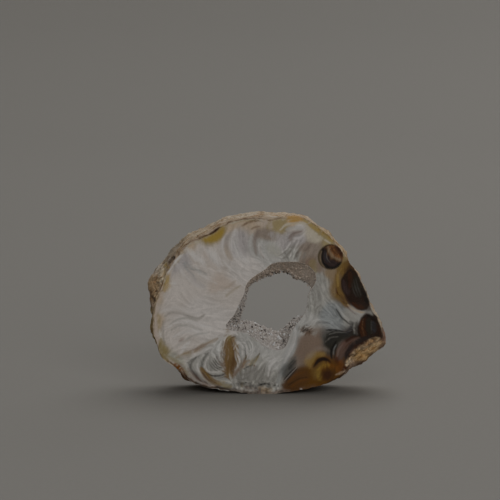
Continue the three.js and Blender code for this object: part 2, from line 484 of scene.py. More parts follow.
# Ground tones: where each has its middle, how far it reaches, its colour, and how fibrous it is

groundTones = [
    (-24, 24.7, 5, "warmWhite", 0.8), (-17.5, 19.4, 6, "pinkWhite", 1), (-20, 28.6, 5, "warmWhite", 0.6),
    (-17.5, 31.3, 5, "warmWhite", 0.8), (-11.7, 28.6, 4, "blush", 0.5), (-10, 25, 3.5, "warmWhite", 0.6),
    (-11, 20.5, 4, "pinkWhite", 0.8), (-22.6, 34.7, 4, "lilac", 1), (-17.5, 36.3, 4, "warmWhite", 1),
    (-12, 35, 4, "warmWhite", 1), (-8, 39, 4, "lilac", 1), (-6.5, 32.8, 4, "pinkWhite", 1),
    (-15, 42.5, 3, "cream", 0.6), (-20.5, 40, 2.5, "cream", 0.6), (-10, 44.5, 3, "cream", 0.7),
    (-4, 45.5, 3, "cream", 0.7), (-20, 12.9, 4, "warmWhite", 1), (-25.3, 15.5, 3.5, "warmWhite", 1),
    (-27, 11.5, 2, "olive", 0.8), (-28.5, 19, 2.2, "cream", 0.8), (-28, 25, 2.2, "cream", 0.8),
    (-24, 9, 2.5, "greenGrey", 1), (-17.5, 8.5, 3, "paleGrey", 2.2), (-15, 4, 3, "paleGrey", 2.2),
    (-13, 12, 2.6, "coolWhite", 1.8), (-9.5, 12.5, 1.8, "tan", 1), (-6, 13.5, 2.4, "coolWhite", 2.4),
    (-6.5, 6.5, 2.6, "paleGrey", 2.4), (-2.5, 7, 3, "paleGrey", 2), (-5, 3, 2.5, "paleGrey", 2.2),
    (1, 4, 3, "paleGrey", 1.8), (2.5, 8.5, 3, "coolWhite", 1.4), (-2, 12, 3, "coolWhite", 1.2),
    (3, 12.5, 3, "coolWhite", 0.6), (-2, 38.4, 3, "coolWhite", 0.9), (0.3, 37.5, 3, "coolWhite", 0.8),
    (-0.5, 42.3, 2.2, "taupe", 0.8), (4.7, 40, 3, "lilac", 1.5), (3, 44, 1.8, "oliveGold", 0.7),
    (8.6, 43.6, 2.2, "pinkWhite", 0.9), (11.9, 41.4, 1.9, "ivory", 0.7), (8.3, 41, 1.8, "lilac", 1.2),
    (11, 38, 3, "taupe", 0.9), (8, 45.5, 2, "amber", 0.5), (13.8, 43, 2, "oliveGold", 0.5),
    (6.5, 36.5, 2.4, "paleGrey", 2.4), (11, 34, 2.5, "beige", 0.7), (13.5, 33.5, 2, "taupe", 0.6),
    (13.8, 28.6, 3, "paleGrey", 1.5), (12, 23.5, 3, "paleGrey", 1.8), (10, 20, 3, "coolWhite", 1.6),
    (15.9, 21.5, 2.6, "blueGrey", 1.8), (18.5, 19, 2.6, "blueGrey", 1.8), (21.6, 19.6, 2.2, "paleGrey", 1.2),
    (24, 20.8, 2, "coolWhite", 0.5), (8, 17, 2.6, "coolWhite", 0.9), (6.5, 12, 2.5, "coolWhite", 0.6),
    (5.2, 6.5, 2.2, "slate", 0.9), (8, 9.5, 2.5, "grey", 0.6), (10.7, 13, 3.2, "beige", 0.35),
    (9, 10.5, 3, "beige", 0.35), (13.5, 13, 2.5, "beige", 0.4), (17, 14.2, 2.5, "slate", 0.4),
    (15.5, 11.5, 2, "brown", 0.4), (12.5, 9.2, 2.4, "honey", 0.4), (14, 5, 3, "honey", 0.4),
    (17, 6, 2.6, "honey", 0.4), (8, 3.5, 3, "brown", 0.8), (10.5, 4.5, 2.6, "honey", 0.6),
    (20, 8.5, 2.5, "burnt", 0.4), (20, 12, 2.2, "rosy", 0.5), (22, 14, 2.2, "redBrown", 0.5),
    (26, 17, 4, "darkBrown", 0.3), (18.5, 27.5, 2, "gold", 0.4), (17, 31.5, 1.6, "tan", 0.5),
    (21.5, 33.3, 2, "gold", 0.4), (20.5, 36, 2, "olive", 0.4), (24, 28, 3.5, "redBrown", 0.4),
    (16.4, 39.5, 2, "oliveGold", 0.5), (17, 41, 2, "oliveGold", 0.5), (-26, 38, 3, "buff", 0.5),
    (-29, 30, 3, "buff", 0.4),
]

ground = {
    "waver": 1.6,  # how far the borders between the tones wander
    "waverCell": 3.2,
    "core": 0.15,  # how broad a tone's even middle is
    "broadContrast": 0.05,
    "fineContrast": 0.055,
    "lobeContrast": 0.16,
}


def layGround():
    total = np.zeros(gridX.shape)
    colour = np.zeros((*gridX.shape, 3))
    fibrous = np.zeros(gridX.shape)
    bendX, bendZ = (grid + ground["waver"] * (cloud(ground["waverCell"], seed) - 0.5)
                    for grid, seed in zip((gridX, gridZ), seeds["ground"]))
    for x, z, reach, name, fibre in groundTones:
        near = ((bendX - x) ** 2 + (bendZ - z) ** 2) / reach ** 2
        weight = 1 / (ground["core"] + near) ** 3
        total += weight
        colour += weight[..., None] * np.array(palette[name])
        fibrous += weight * fibre
    contrast = (ground["broadContrast"] * broadFibres + ground["fineContrast"] * fineFibres
                + ground["lobeContrast"] * lobes)
    return colour / total[..., None] * np.exp(fibrous / total * contrast)[..., None]


paint = layGround()


# The brushes: strands, patches and crumbs

brush = {
    "hairEdge": 0.05,  # the least softness of a strand's edge
    "swell": 0.5,  # how much the broad fibres change its width
    "fade": 0.4,  # how much paler it gets where it tapers
    "grain": (0.2, 1.4),  # how little and how much colour the fine fibres leave
    "crumbEdge": (-0.2, 0.3),
    "crumbMiddle": 0.85,  # the crumbs' mean, taken away so that as many turn light as dark
}


def cover(part, colour, share):
    under = paint[part]
    paint[part] = under + (np.array(palette[colour]) - under) * share[..., None]


def strand(colour, width, points, strength=0.55, soft=0.75, taper=0.6, comb=0.35):
    # A line of colour that follows the fibres. taper is how much its ends thin out.
    line = smoothLine(points)
    part, x, z = windowRound(line, width * 1.5 + 0.4)
    if x.size == 0:
        return
    gap, along = distanceTo(line, x, z)
    slim = 1 - taper + taper * np.sqrt(np.clip(np.sin(math.pi * along), 0, 1))
    half = width / 2 * slim * (1 + comb * broadFibres[part] * brush["swell"])
    share = 1 - softStep(gap, half * (1 - soft), half * (1 + soft) + brush["hairEdge"])
    share *= strength * (1 - taper * brush["fade"] * (1 - slim))
    share *= np.clip(1 + comb * fineFibres[part], *brush["grain"])
    cover(part, colour, np.clip(share, 0, 1))


def patch(colour, outline, strength=0.9, soft=0.6, comb=0.15):
    # A filled area with a soft edge that frays along the fibres
    line = smoothLine(outline, closed=True)
    part, x, z = windowRound(line, soft * 2 + 0.3)
    gap = outsideGap(line, x, z) + comb * fineFibres[part] * soft
    cover(part, colour, np.clip((1 - softStep(gap, -soft, soft)) * strength, 0, 1))


def crumble(outline, amount, cell):
    # Breaks an area up into light and dark grains
    line = smoothLine(outline, closed=True)
    part, x, z = windowRound(line, 1)
    share = 1 - softStep(outsideGap(line, x, z), *brush["crumbEdge"])
    coarse, fine = seeds["crumbs"]
    crumbs = (cloud(cell, coarse) + 0.7 * cloud(cell / 2, fine) - brush["crumbMiddle"])[part]
    paint[part] *= np.exp(amount * share * crumbs)[..., None]


def lay(draw, marks):
    # A mark holds the values that its brush takes first, and may end with others by name
    for mark in marks:
        named = mark[-1] if isinstance(mark[-1], dict) else {}
        plain = mark[:-1] if named else mark
        draw(*plain, **named)


# A strand is colour, width, points and strength, and a patch is colour, outline, strength, softness
# and combing. What a mark leaves out is the brush's own value.

# Lower left: long pale plumes that sweep down into a nest of dark curls
lowerLeft = [
    ("grey", 0.8, [(-26.6, 20.5), (-24.8, 21.5), (-22.1, 21.3), (-19.5, 20.2), (-17.5, 20),
                   (-16.2, 21)], 0.5),
    ("pinkWhite", 1.2, [(-27.9, 21.5), (-25.3, 22.5), (-22.7, 22.3), (-19, 21.3)]),
    ("paleGrey", 0.45, [(-25.3, 18.4), (-23.2, 19.7), (-20.6, 20), (-18, 19.2)], 0.6),
    ("paleGrey", 0.5, [(-25, 16.8), (-23.2, 17.9), (-20.6, 18.1), (-18.5, 17.3), (-16.7, 16.8)], 0.6),
    ("milk", 0.6, [(-25.8, 17.5), (-23.5, 18.8), (-20.6, 19), (-17.5, 18.2), (-14.5, 17.6)]),
    ("milk", 0.7, [(-24.5, 15), (-22, 16.2), (-19, 16.6), (-15.5, 15.9)]),
    ("grey", 0.6, [(-27.1, 19.4), (-27.1, 15.5), (-26.6, 12.9)], 0.45),
    ("milk", 0.6, [(-27.9, 16.8), (-27.4, 14.2)], 0.6),
    ("olive", 1.0, [(-27.6, 14.7), (-27.6, 12.1), (-27.1, 10), (-25.8, 8.9)], 0.8),
    ("rosy", 0.8, [(-22.9, 13.9), (-21.6, 14.7)], 0.4),
    ("milk", 0.8, [(-22.7, 10.2), (-21.6, 12.3), (-20.1, 13.9)], 0.7),
    ("tan", 0.9, [(-19, 11), (-17.7, 12.3), (-16.2, 13.1), (-14.3, 13.9), (-12.8, 14.7)]),
    ("milk", 0.8, [(-20.1, 9.5), (-18.8, 10.2), (-16.2, 11.6), (-14.3, 12.3)]),
    ("olive", 1.4, [(-21.6, 10.3), (-19.6, 10.9)], 0.5),
    ("paleGrey", 0.5, [(-23.5, 12.5), (-21.5, 14), (-18.6, 15.6), (-15, 16.3)], 0.55),
    ("smoke", 0.24, [(-13.3, 10), (-12.5, 8.7), (-11.5, 7.9)], 0.7),
    ("smoke", 0.24, [(-13.8, 9.5), (-12.8, 8), (-11.5, 7.4)], 0.7),
    ("smoke", 0.24, [(-14.1, 8.9), (-13, 7.4), (-11.7, 6.8)], 0.7),
    ("smoke", 0.24, [(-14.6, 8.4), (-13.5, 7.1), (-12.2, 6.4)], 0.7),
    ("slate", 0.3, [(-15.1, 8.1), (-14.1, 6.8), (-12.8, 6)], 0.7),
    ("slate", 0.6, [(-15.2, 11), (-16.5, 9.2), (-17, 7.3), (-16.3, 5.7)], 0.6),
    ("smoke", 0.4, [(-16.3, 5.9), (-14.1, 4.8), (-11.7, 5), (-10.4, 5.9)], 0.8),
    ("milk", 0.45, [(-15.1, 10), (-16, 8.4), (-16, 6.8), (-14.8, 5.8), (-12.5, 5.9)], 0.5),
    ("slate", 0.5, [(-18.5, 9.7), (-19.8, 7.9), (-19.9, 6)], 0.6),
    ("tan", 1.0, [(-23.7, 9.5), (-21.1, 10.8), (-18.2, 11.6), (-15.9, 12.9)], 0.5),
    ("mauve", 0.6, [(-20.6, 11), (-17.7, 12.3), (-15.1, 13.4)], 0.45),
    ("slate", 0.35, [(-17.5, 10.2), (-19.3, 9.2), (-20.8, 8.1)], 0.6),
    ("milk", 0.4, [(-16.2, 10.5), (-17.8, 8.9), (-18.2, 7), (-17, 5.2), (-14.6, 4)], 0.45),
    ("paleGrey", 0.8, [(-17, 9.8), (-18.6, 8.2), (-18.9, 6.4)], 0.5),
    ("gold", 1.5, [(-17.2, 6.8), (-15.8, 4.8), (-14, 3.3), (-12, 2.5)], 0.95, dict(comb=0.15)),
    ("umber", 0.5, [(-16.9, 5.6), (-15.4, 3.9), (-13.6, 2.8)], 0.6),
    ("oliveGold", 0.9, [(-13.1, 3.3), (-12, 2.9), (-11, 3.1)], 0.6),
    ("umber", 1.2, [(-19.6, 6), (-18, 4), (-15.6, 2.6)], 0.8),
    ("mauve", 0.8, [(-20.6, 6.8), (-19.4, 4.8), (-17.6, 3.2)], 0.6),
    ("slate", 0.6, [(-20.4, 8), (-19.6, 6.2), (-18.2, 4.9)], 0.6),
    ("blush", 0.4, [(-20.3, 5.8), (-18.5, 3.7), (-16.2, 2.6), (-13.8, 2.1)]),
    ("orange", 1.2, [(-24, 7.8), (-22.4, 6.4), (-21.2, 5)], 0.75, dict(comb=0.8)),
    ("brown", 0.8, [(-22.4, 6), (-20.8, 4.4), (-19.2, 3.2)], 0.7, dict(comb=0.8)),
    ("redBrown", 0.4, [(-21.9, 6), (-20.6, 4.2), (-19.5, 3.4)], 0.7),
    ("smoke", 0.4, [(-18.8, 3.2), (-16.7, 2.1), (-14.9, 1.6)], 0.7),
    ("black", 0.5, [(-13.3, 1.9), (-11.2, 1.6)], 0.7),
    ("olive", 1.0, [(-11.7, 2.3), (-9.1, 2)], 0.7),
    ("paleGrey", 0.6, [(-23, 8.2), (-21, 6.4), (-19.4, 4.4), (-17, 2.8)], 0.5),
]

# The dark trunk under the hollow, and the fans of fibres to the right of it
trunkPatches = [
    ("tan", [(-10.2, 16), (-9.1, 15.2), (-8.3, 13.4), (-7.6, 11), (-7.4, 8.7), (-8.2, 6.3), (-9.4, 4.5),
             (-10.5, 6), (-11.3, 8.1), (-11.6, 10.8), (-11.2, 13.7)], 0.7, 0.9, 0.3),
    ("beige", [(-10.6, 15), (-9.6, 13), (-9.2, 10), (-9.2, 7), (-10.4, 4.8), (-11.4, 7.2), (-11.6, 10),
               (-11.3, 12.6)], 0.7, 0.8, 0.8),
    ("gold", [(-10.4, 15.8), (-9.3, 14.6), (-8.5, 12.6), (-7.8, 10.2), (-7.5, 8), (-8.2, 5.8), (-9.8, 4.6),
              (-10.6, 7), (-10.7, 9.6), (-10.6, 12), (-10.7, 14)], 0.8, 0.8, 0.8),
    ("brown", [(-9.1, 9.6), (-8, 9.2), (-7.9, 7), (-8.8, 5.6), (-9.7, 6.4), (-9.6, 8.2)], 0.5, 0.7, 0.4),
    ("grey", [(-8.1, 6), (-6, 7.4), (-2.9, 7.4), (0, 6), (1.4, 3.8), (0.6, 1.6), (-4.9, 1),
              (-7.6, 2.1)], 0.5, 1.0, 0.6),
]
trunk = [
    ("olive", 1.0, [(-9.9, 15.6), (-9.5, 13.8)], 0.6),
    ("brown", 0.6, [(-9.4, 14.4), (-8.6, 11.6), (-8.6, 8.7), (-9.4, 6.3)], 0.45),
    ("slate", 0.25, [(-11.9, 10.2), (-11.2, 9.2), (-10.4, 8.8)], 0.5),
    ("slate", 0.25, [(-12, 11.4), (-11.3, 10.5), (-10.5, 10.1)], 0.4),
    ("milk", 0.5, [(-8.1, 12.9), (-7.6, 11), (-7, 9.5), (-7.6, 7.4), (-8.3, 6.3)]),
    ("coolWhite", 0.4, [(-8.3, 11.6), (-8.1, 9.5), (-7.3, 7.4), (-8.1, 6.3), (-8.6, 5)]),
    ("milk", 0.5, [(-11.2, 14.2), (-10.4, 15.5), (-9.1, 16), (-7.6, 15.8)]),
    ("slate", 0.3, [(-9.4, 14.7), (-8.6, 15.2), (-8.1, 15.2)], 0.7),
    ("milk", 0.45, [(-8.6, 11.8), (-8.1, 13.1), (-7, 13.7), (-5.7, 13.4)]),
    ("paleGrey", 0.35, [(-9, 12.6), (-8.2, 14), (-6.8, 14.7), (-5.2, 14.2)]),
    ("milk", 0.4, [(-7.8, 12.1), (-7.6, 10.2), (-6.8, 8.4)]),
    ("blueGrey", 0.45, [(-7.2, 12.6), (-7, 10.5), (-6.5, 8.9)]),
    ("milk", 0.4, [(-6.3, 12.9), (-6.3, 10.5)]),
    ("slate", 0.28, [(-5.6, 12.3), (-5.6, 10)], 0.7),
    ("milk", 0.4, [(-5.5, 12.9), (-5, 9.5)]),
    ("beige", 0.9, [(-8.9, 4.5), (-7.6, 6.2), (-6.2, 7.7), (-5.5, 9.8)], 0.75, dict(comb=0.5)),
    ("tan", 0.6, [(-6.2, 7.7), (-5.2, 8.7), (-4.4, 8.9)], 0.7),
    ("olive", 0.9, [(-4.4, 7.4), (-3.4, 8.8), (-2.1, 10)], 0.75),
    ("oliveDark", 0.4, [(-3.6, 8.7), (-2.3, 10.2), (-1.8, 10.8)], 0.6),
    ("oliveDark", 0.4, [(-5.6, 9.2), (-5.2, 10.4)], 0.6),
    ("cream", 0.4, [(-6.1, 7), (-5, 7.8), (-4.2, 8)]),
    ("smoke", 0.28, [(-6, 6.6), (-5, 7.2), (-3.6, 7.7)], 0.6),
    ("rosy", 0.4, [(-3.4, 7.6), (-3.1, 7.4)], 0.7),
    ("greenGrey", 0.5, [(-4.4, 15.5), (-3.6, 14.7), (-2.6, 13.9)]),
    ("milk", 1.1, [(2.1, 9.5), (0.8, 6.8), (0.3, 4.7)], 0.4),
    ("oliveDark", 0.9, [(-6.9, 2.9), (-6, 1.9)], 0.5, dict(comb=0.8)),
    ("black", 0.35, [(-5.7, 3.1), (-5.3, 3.0)], 0.8),
    ("rosy", 1.2, [(-5.7, 1.9), (-3.5, 1.3), (-1.4, 1)], 0.45, dict(comb=0.6)),
    ("tan", 1.3, [(-2.2, 1.6), (-0.3, 1.2), (1.2, 1.3)], 0.7, dict(comb=0.5)),
    ("smoke", 0.35, [(-2.3, 2.2), (-0.8, 2.7), (0.8, 2.6)], 0.75),
    ("smoke", 0.6, [(1.7, 2.6), (2.3, 2.3)], 0.8),
    ("brown", 1.6, [(4.2, 2.4), (6, 1.8), (8.4, 1.6)], 0.75, dict(comb=0.5)),
    ("slate", 0.3, [(-8.4, 4.3), (-6.8, 3.8), (-5, 4.4)], 0.4),
    ("grey", 0.5, [(-7.4, 5.6), (-5.6, 5.2), (-3.8, 6.2), (-2.5, 7.4)], 0.4),
    ("grey", 0.4, [(-3.5, 5.2), (-1.8, 6.4), (-0.4, 8.2)], 0.35),
]

# Upper left: feathery plumes under a cream rind, an ochre pocket and tan crescents
upperLeftPatches = [
    ("olive", [(-17.2, 40.5), (-15.4, 41.2), (-13.3, 42.6), (-11.5, 43.9), (-10.7, 43.1), (-11.7, 41),
               (-13.8, 39.4), (-15.9, 39.1)], 0.75, 0.9, 0.2),
    ("ochre", [(-16.7, 40.6), (-14.8, 41.6), (-12.8, 42.9), (-11.3, 43.9), (-11.1, 42.6), (-11.9, 41),
               (-13.3, 40.1), (-15.3, 39.9)], 0.95, 0.6),
    ("buff", [(-26.4, 38.7), (-22.8, 38.9), (-22.5, 36.6), (-25, 35.6)], 0.6, 0.7, 0.6),
]
upperLeft = [
    ("cream", 0.5, [(-18.6, 42.1), (-15.6, 43.4), (-12.6, 44.5), (-10, 45.4)]),
    ("brown", 0.3, [(-17.6, 40.6), (-16.2, 41.4), (-14.6, 42)], 0.7),
    ("redBrown", 0.55, [(-14.9, 42), (-13.5, 42.8), (-12.2, 43.9)], 0.95, dict(comb=0.1)),
    ("brown", 0.3, [(-20.5, 40.3), (-19.2, 41), (-18, 41.3)], 0.5),
    ("mustard", 1.6, [(-27, 32), (-26, 29.6), (-26.6, 27)], 0.6),
    # Painted highlight: a thin white line along the polished face's upper left edge
    ("milk", 0.5, [(-21.6, 37), (-23.7, 34.7), (-25.3, 32.6), (-26, 31.2)]),
    ("milk", 0.9, [(-21.3, 38.1), (-20.4, 38.2)], 0.35),
    ("milk", 0.5, [(-25.3, 29.2), (-23.6, 29.2)]),
    ("blueGrey", 0.5, [(-21.6, 34.7), (-21.1, 33.1), (-19.5, 31.8), (-18.5, 29.9)], 0.55),
    ("grey", 0.35, [(-21.1, 33.6), (-19.5, 32.8), (-17.5, 32.6), (-15.6, 31.8)], 0.45),
    ("tan", 0.7, [(-20.1, 36.5), (-18.8, 34.9), (-16.9, 34.2), (-14.9, 33.6)], 0.4),
    ("mauve", 0.7, [(-14.9, 36.8), (-13.8, 35.2), (-11.7, 33.6), (-10.2, 33.1)], 0.45),
    ("milk", 0.8, [(-16.2, 35.7), (-14.6, 34.2), (-12.2, 32.3)], 0.35),
    ("milk", 0.8, [(-11.7, 35.7), (-10.5, 34), (-8.3, 32)], 0.35),
    ("milk", 0.7, [(-19.8, 38.4), (-18.4, 36), (-16.2, 34.7)], 0.35),
    ("milk", 0.7, [(-23.4, 34.5), (-22, 32), (-19.7, 29.6), (-16.4, 27.6)], 0.35),
    ("milk", 0.6, [(-18.6, 33.6), (-16.6, 31.2), (-13, 29)], 0.35),
    ("tan", 2.0, [(-9.4, 42), (-10.2, 39.8), (-10.3, 37.6), (-9.2, 35.4)], 0.4),
    ("milk", 0.8, [(-11.2, 41), (-11.6, 38.2), (-10.6, 36)], 0.35),
    ("coolWhite", 0.8, [(-7.8, 41), (-8.2, 38.4), (-6.6, 35.8)], 0.6),
    ("lilac", 1.6, [(-6.8, 40.2), (-7, 37.8), (-5.7, 36)], 0.7),
    ("milk", 0.7, [(-8.8, 33.6), (-6.6, 32), (-4.4, 31.4)], 0.35),
    ("milk", 0.6, [(-13.8, 37.8), (-12.8, 36.2), (-11, 34.6)], 0.35),
    ("milk", 1.6, [(-20.3, 37.8), (-18.5, 35.7), (-15.9, 33.9)], 0.6, dict(soft=0.9)),
    ("blueGrey", 0.8, [(-21.4, 34.7), (-18.8, 32.8), (-15.6, 31.5)], 0.45, dict(soft=0.9)),
    ("milk", 1.4, [(-15.4, 37.8), (-13.8, 35.5), (-11.5, 33.6)], 0.6, dict(soft=0.9)),
    ("blush", 1.2, [(-16.4, 37.3), (-15.1, 34.7), (-12.8, 32.8)], 0.5, dict(soft=0.9)),
    ("lilac", 1.4, [(-20.6, 32.4), (-18.8, 29.9), (-16.2, 28.3)], 0.5, dict(soft=0.9)),
    ("milk", 1.8, [(-8.1, 43.1), (-9.1, 39.9), (-7.8, 36.8), (-4.9, 34.7)], 0.6, dict(soft=0.9)),
    ("olive", 0.6, [(-10.7, 25.7), (-8.9, 27.3), (-6.8, 28.6)], 0.35),
    ("tan", 0.7, [(-12, 26.8), (-9.8, 28.4), (-8, 30)], 0.25),
    ("pinkWhite", 1.2, [(-16, 25.6), (-12.4, 26.4), (-9.6, 27.8)], 0.5),
]

# Top: gold and amber under the rind, then grey plumes that hang down to the hollow
topPatches = [
    ("oliveGold", [(1.2, 45.4), (4.8, 46), (5.6, 45), (4, 44), (1.6, 43.2), (0.2, 43.8)], 0.75, 0.6, 0.5),
    ("mauve", [(-2.3, 43.9), (-3.3, 42), (-3.5, 39.7), (-2.9, 37), (-2.3, 37.8), (-2.6, 39.9),
               (-2.2, 42)], 0.6, 0.6),
    ("mauve", [(5.7, 41), (6.3, 42.6), (7.8, 43.2), (9.4, 43.1), (8.9, 42.3), (7.3, 41.5),
               (6.3, 40.2)], 0.6, 0.5),
    ("amber", [(5.4, 46.6), (6.8, 46.9), (8.4, 46.7), (9.8, 46.1), (9.3, 45.3), (7.8, 45.2), (6.8, 44.7),
               (5.8, 45.3)], 0.85, 0.5, 0.6),
    ("olive", [(11.2, 35.2), (12.5, 35.4), (13.2, 34), (13, 32.2), (12.1, 31.6), (11.1, 33)], 0.6, 0.4),
    ("beige", [(12.9, 34.6), (14.2, 34.4), (14.3, 32.4), (13, 32.2)], 0.6, 0.5),
]
top = [
    ("oliveDark", 0.4, [(-4.7, 47.5), (-2.9, 47.5)], 0.7),
    ("brown", 0.35, [(-6.3, 46), (-4.6, 46.6), (-2.9, 46.6)], 0.7),
    ("smoke", 0.3, [(-2.2, 47), (-1.3, 46.8), (-0.2, 47.2)], 0.7),
    ("brown", 0.35, [(1, 47), (2.4, 47.4), (4.2, 47.1)], 0.6),
    # Painted highlight: a small white glint on the polished face just under the top rim
    ("milk", 0.5, [(0.4, 46.9), (2.6, 46.7)], 0.9),
    ("oliveGold", 1.3, [(9.4, 46), (12.5, 43.6), (14.6, 41.8), (16.9, 40.5)], 0.85),
    ("olive", 0.9, [(11.6, 44.6), (14, 42.6), (15.8, 41.3), (17.6, 40)], 0.8),
    ("mustard", 1.0, [(9.4, 45.4), (12.6, 43.6), (15, 42), (17, 40.3)], 0.7),
    ("umber", 0.35, [(9, 46.9), (11.6, 45.2), (14, 43.6)], 0.5, dict(comb=0.8)),
    ("gold", 0.4, [(13.4, 43.4), (15.4, 41.9), (17.4, 40.4)], 0.5),
    ("umber", 0.3, [(-5.6, 27.3), (-5.1, 28.6), (-3.4, 30.1), (-0.8, 31.6), (0.8, 33.2), (1.8, 34.4),
                    (3.7, 34.7)], 0.5, dict(comb=0.8)),
    ("cream", 0.5, [(8.6, 47.3), (11.7, 45.4), (13.8, 44.4), (17.7, 41)], 0.9),
    ("brown", 0.35, [(9.6, 46.5), (11.7, 45.3), (13, 44.5)], 0.7),
    ("ivory", 0.6, [(3.4, 43.1), (5.2, 44.5), (9.4, 44.9), (10.7, 43.6), (12.5, 42.3), (14.3, 41),
                    (16.4, 39.7)], 0.85),
    ("brown", 0.55, [(-6.5, 44.1), (-5.2, 44.9), (-3.6, 45.4), (-2.1, 45.6)], 0.6),
    ("brown", 0.4, [(-4.2, 43.3), (-2.9, 43.9), (-1.8, 44.1)], 0.5),
    ("blush", 1.6, [(-2.9, 44.9), (0, 44.8), (1.3, 43.8)], 0.5),
    ("mauve", 0.7, [(-1.8, 43.3), (-2.9, 41.5), (-3.4, 39.7), (-3.1, 37.8), (-2.6, 36.3)], 0.5),
    ("mauve", 0.4, [(-1.8, 38.9), (-1.6, 37.3), (-0.8, 35.7)], 0.6),
    ("coolWhite", 0.7, [(-3.8, 42), (-4.6, 39.6), (-4, 37)], 0.7),
    ("milk", 0.5, [(-2.2, 40), (-1.9, 38), (-0.6, 36)], 0.5),
    ("lilac", 1.6, [(0.6, 42), (2.4, 41.6), (4.4, 41.2)], 0.6),
    ("greenGrey", 2.6, [(0, 38.8), (2, 37.6), (3.6, 37)], 0.5),
    ("umber", 0.5, [(9.1, 42.8), (7.6, 42.5), (6.3, 41.8), (5.5, 40.7)], 0.4),
    ("coolWhite", 1.0, [(4.9, 43.2), (7.2, 43.8), (9, 43.3)], 0.6),
    ("umber", 0.6, [(9.6, 39.5), (8.6, 38.1), (7.8, 37), (7.6, 36)], 0.45),
    ("umber", 0.5, [(11.4, 39.6), (10.6, 38.4), (9.8, 37.6)], 0.35),
    ("grey", 0.5, [(7.8, 40.5), (7, 39.1), (6.3, 37.8), (5.2, 36.5), (4.2, 35.7)], 0.7),
    ("milk", 0.4, [(8.3, 40.2), (7.6, 38.9), (6.9, 37.4), (5.9, 36.2)], 0.6),
    ("grey", 0.35, [(6.6, 40), (5.8, 38.6), (4.6, 37.4), (3.2, 36.4)], 0.5),
    ("milk", 0.35, [(6.2, 40), (5.2, 38.4), (3.9, 37.2)], 0.5),
    ("grey", 0.4, [(8.8, 40.6), (8.4, 39.6), (7.4, 38.2)], 0.4),
    ("ivory", 1.2, [(11.4, 42.2), (12.8, 41.2), (14.2, 40.4)], 0.5),
    ("grey", 0.6, [(9.9, 37.3), (9.6, 34.7), (10.7, 32)], 0.6),
    ("slate", 0.3, [(10.8, 33.6), (11.2, 32.3), (12, 31.6), (12.6, 31.9)], 0.85),
]

# Upper right: the round eye under the rim, with its curved stripes
roundEye = {
    "middle": (16.5, 36.1),
    "radius": 3.25,
    "corners": 16,
    "edge": (-0.1, 0.25),  # where its stripes fade out, from just inside the radius to just outside
}
roundEyeMarks = [
    ("violet", 1.4, [(15.1, 37), (15.3, 35.4), (16.2, 34.2), (17.6, 33.8)], 0.6, dict(taper=0.2)),
    ("navy", 0.5, [(15.1, 37.6), (15.1, 36), (15.8, 34.7)], 0.6),
    # Painted sheen: a thin grey line over the dark navy part of the round eye
    ("grey", 0.15, [(15.5, 37.2), (15.6, 35.8), (16.4, 34.6)], 0.4),
    ("violet", 0.5, [(16.3, 36.4), (17, 35.2), (18.2, 34.5)], 0.6),
    ("copper", 2.6, [(16.6, 39.2), (17, 37.9), (18, 36.8), (19.6, 36)], 0.75, dict(taper=0.2)),
    ("brown", 0.5, [(15.5, 38.7), (15.8, 37.3), (16.9, 35.8), (18.8, 34.9)], 0.7),
    ("tan", 0.8, [(15.9, 38.8), (16.2, 37.5), (17.3, 36.1), (19.3, 35.2)], 0.6, dict(taper=0.3)),
    ("burnt", 0.3, [(16.7, 38.8), (17.1, 37.7), (18.3, 36.6)], 0.6),
    ("redBrown", 1.4, [(18.2, 38.8), (19, 37.8), (19.6, 36.6)], 0.8, dict(taper=0.3)),
    ("burnt", 0.3, [(17.6, 38.3), (18.5, 37.2), (19.4, 36.4)], 0.5),
    ("darkBrown", 0.4, [(15.1, 38.9), (16.4, 39.3), (18, 39.2)], 0.8),
    ("black", 0.9, [(15, 34.2), (16.4, 33.2), (18, 33.4), (19.2, 34.5)], 0.85, dict(taper=0.3)),
    ("black", 0.45, [(14.7, 38.1), (14.3, 36.2), (14.7, 34.4), (15.9, 33.4)], 0.95, dict(comb=0.1)),
    ("tan", 0.4, [(14.2, 37.7), (13.8, 36.1), (14.2, 34.4), (15.1, 33.2)], 0.65, dict(comb=0.1)),
    ("oliveDark", 0.4, [(14.3, 38.5), (13.5, 37), (13.4, 35.5), (14.1, 33.9), (15.4, 32.9),
                        (16.7, 32.9)], 0.85, dict(comb=0.1)),
]

# Right edge: a long dark eye, the gold band that wraps it, and a third eye below
rightPatches = [
    ("gold", [(19.8, 36.2), (21.6, 35.7), (23.2, 33.1), (24.5, 30.7), (22.1, 32), (20.3, 31.5),
              (19.3, 33.1)], 0.85, 0.5),
    ("brown", [(20.3, 35.2), (21.6, 35.3), (23.2, 33), (24.5, 30.6), (22.1, 31.8), (20.2, 32.2),
               (19.9, 33.6)], 0.8, 0.5),
    ("darkBrown", [(21, 34), (22.6, 33.4), (24.2, 30.8), (22.1, 31.8), (20.5, 32.3)], 0.55, 0.6),
    ("oliveGold", [(19.6, 37), (21, 36.6), (21, 35.2), (19.6, 34.9)], 0.5, 0.4),
    ("darkBrown", [(20.6, 32.3), (21.9, 33), (23.2, 32), (24.2, 30.5), (25.3, 28.4), (26.1, 26.5),
                   (26.7, 24.7), (26.6, 23.2), (25.7, 22.2), (24.2, 22.1), (22.7, 23), (21.4, 24.4),
                   (20.3, 26), (19.4, 27.8), (19.2, 29.4), (19.7, 31.1)], 0.97, 0.25),
    ("paleGrey", [(22.1, 21.8), (24.2, 21.1), (26.1, 21.7), (27.1, 22.1), (27.6, 20.9), (26.1, 21),
                  (24.5, 20.1), (23.4, 18.9), (22.1, 20)], 0.7, 0.35),
    ("darkBrown", [(25.8, 21.3), (26.8, 21), (28, 20), (29.1, 18.6), (29.8, 17.1), (30.1, 15.5),
                   (29.7, 14.2), (27.9, 14.4), (26.1, 14.8), (24.5, 14.7), (24, 16.5), (24, 18.4),
                   (24.5, 20.1)], 0.97, 0.3),
]
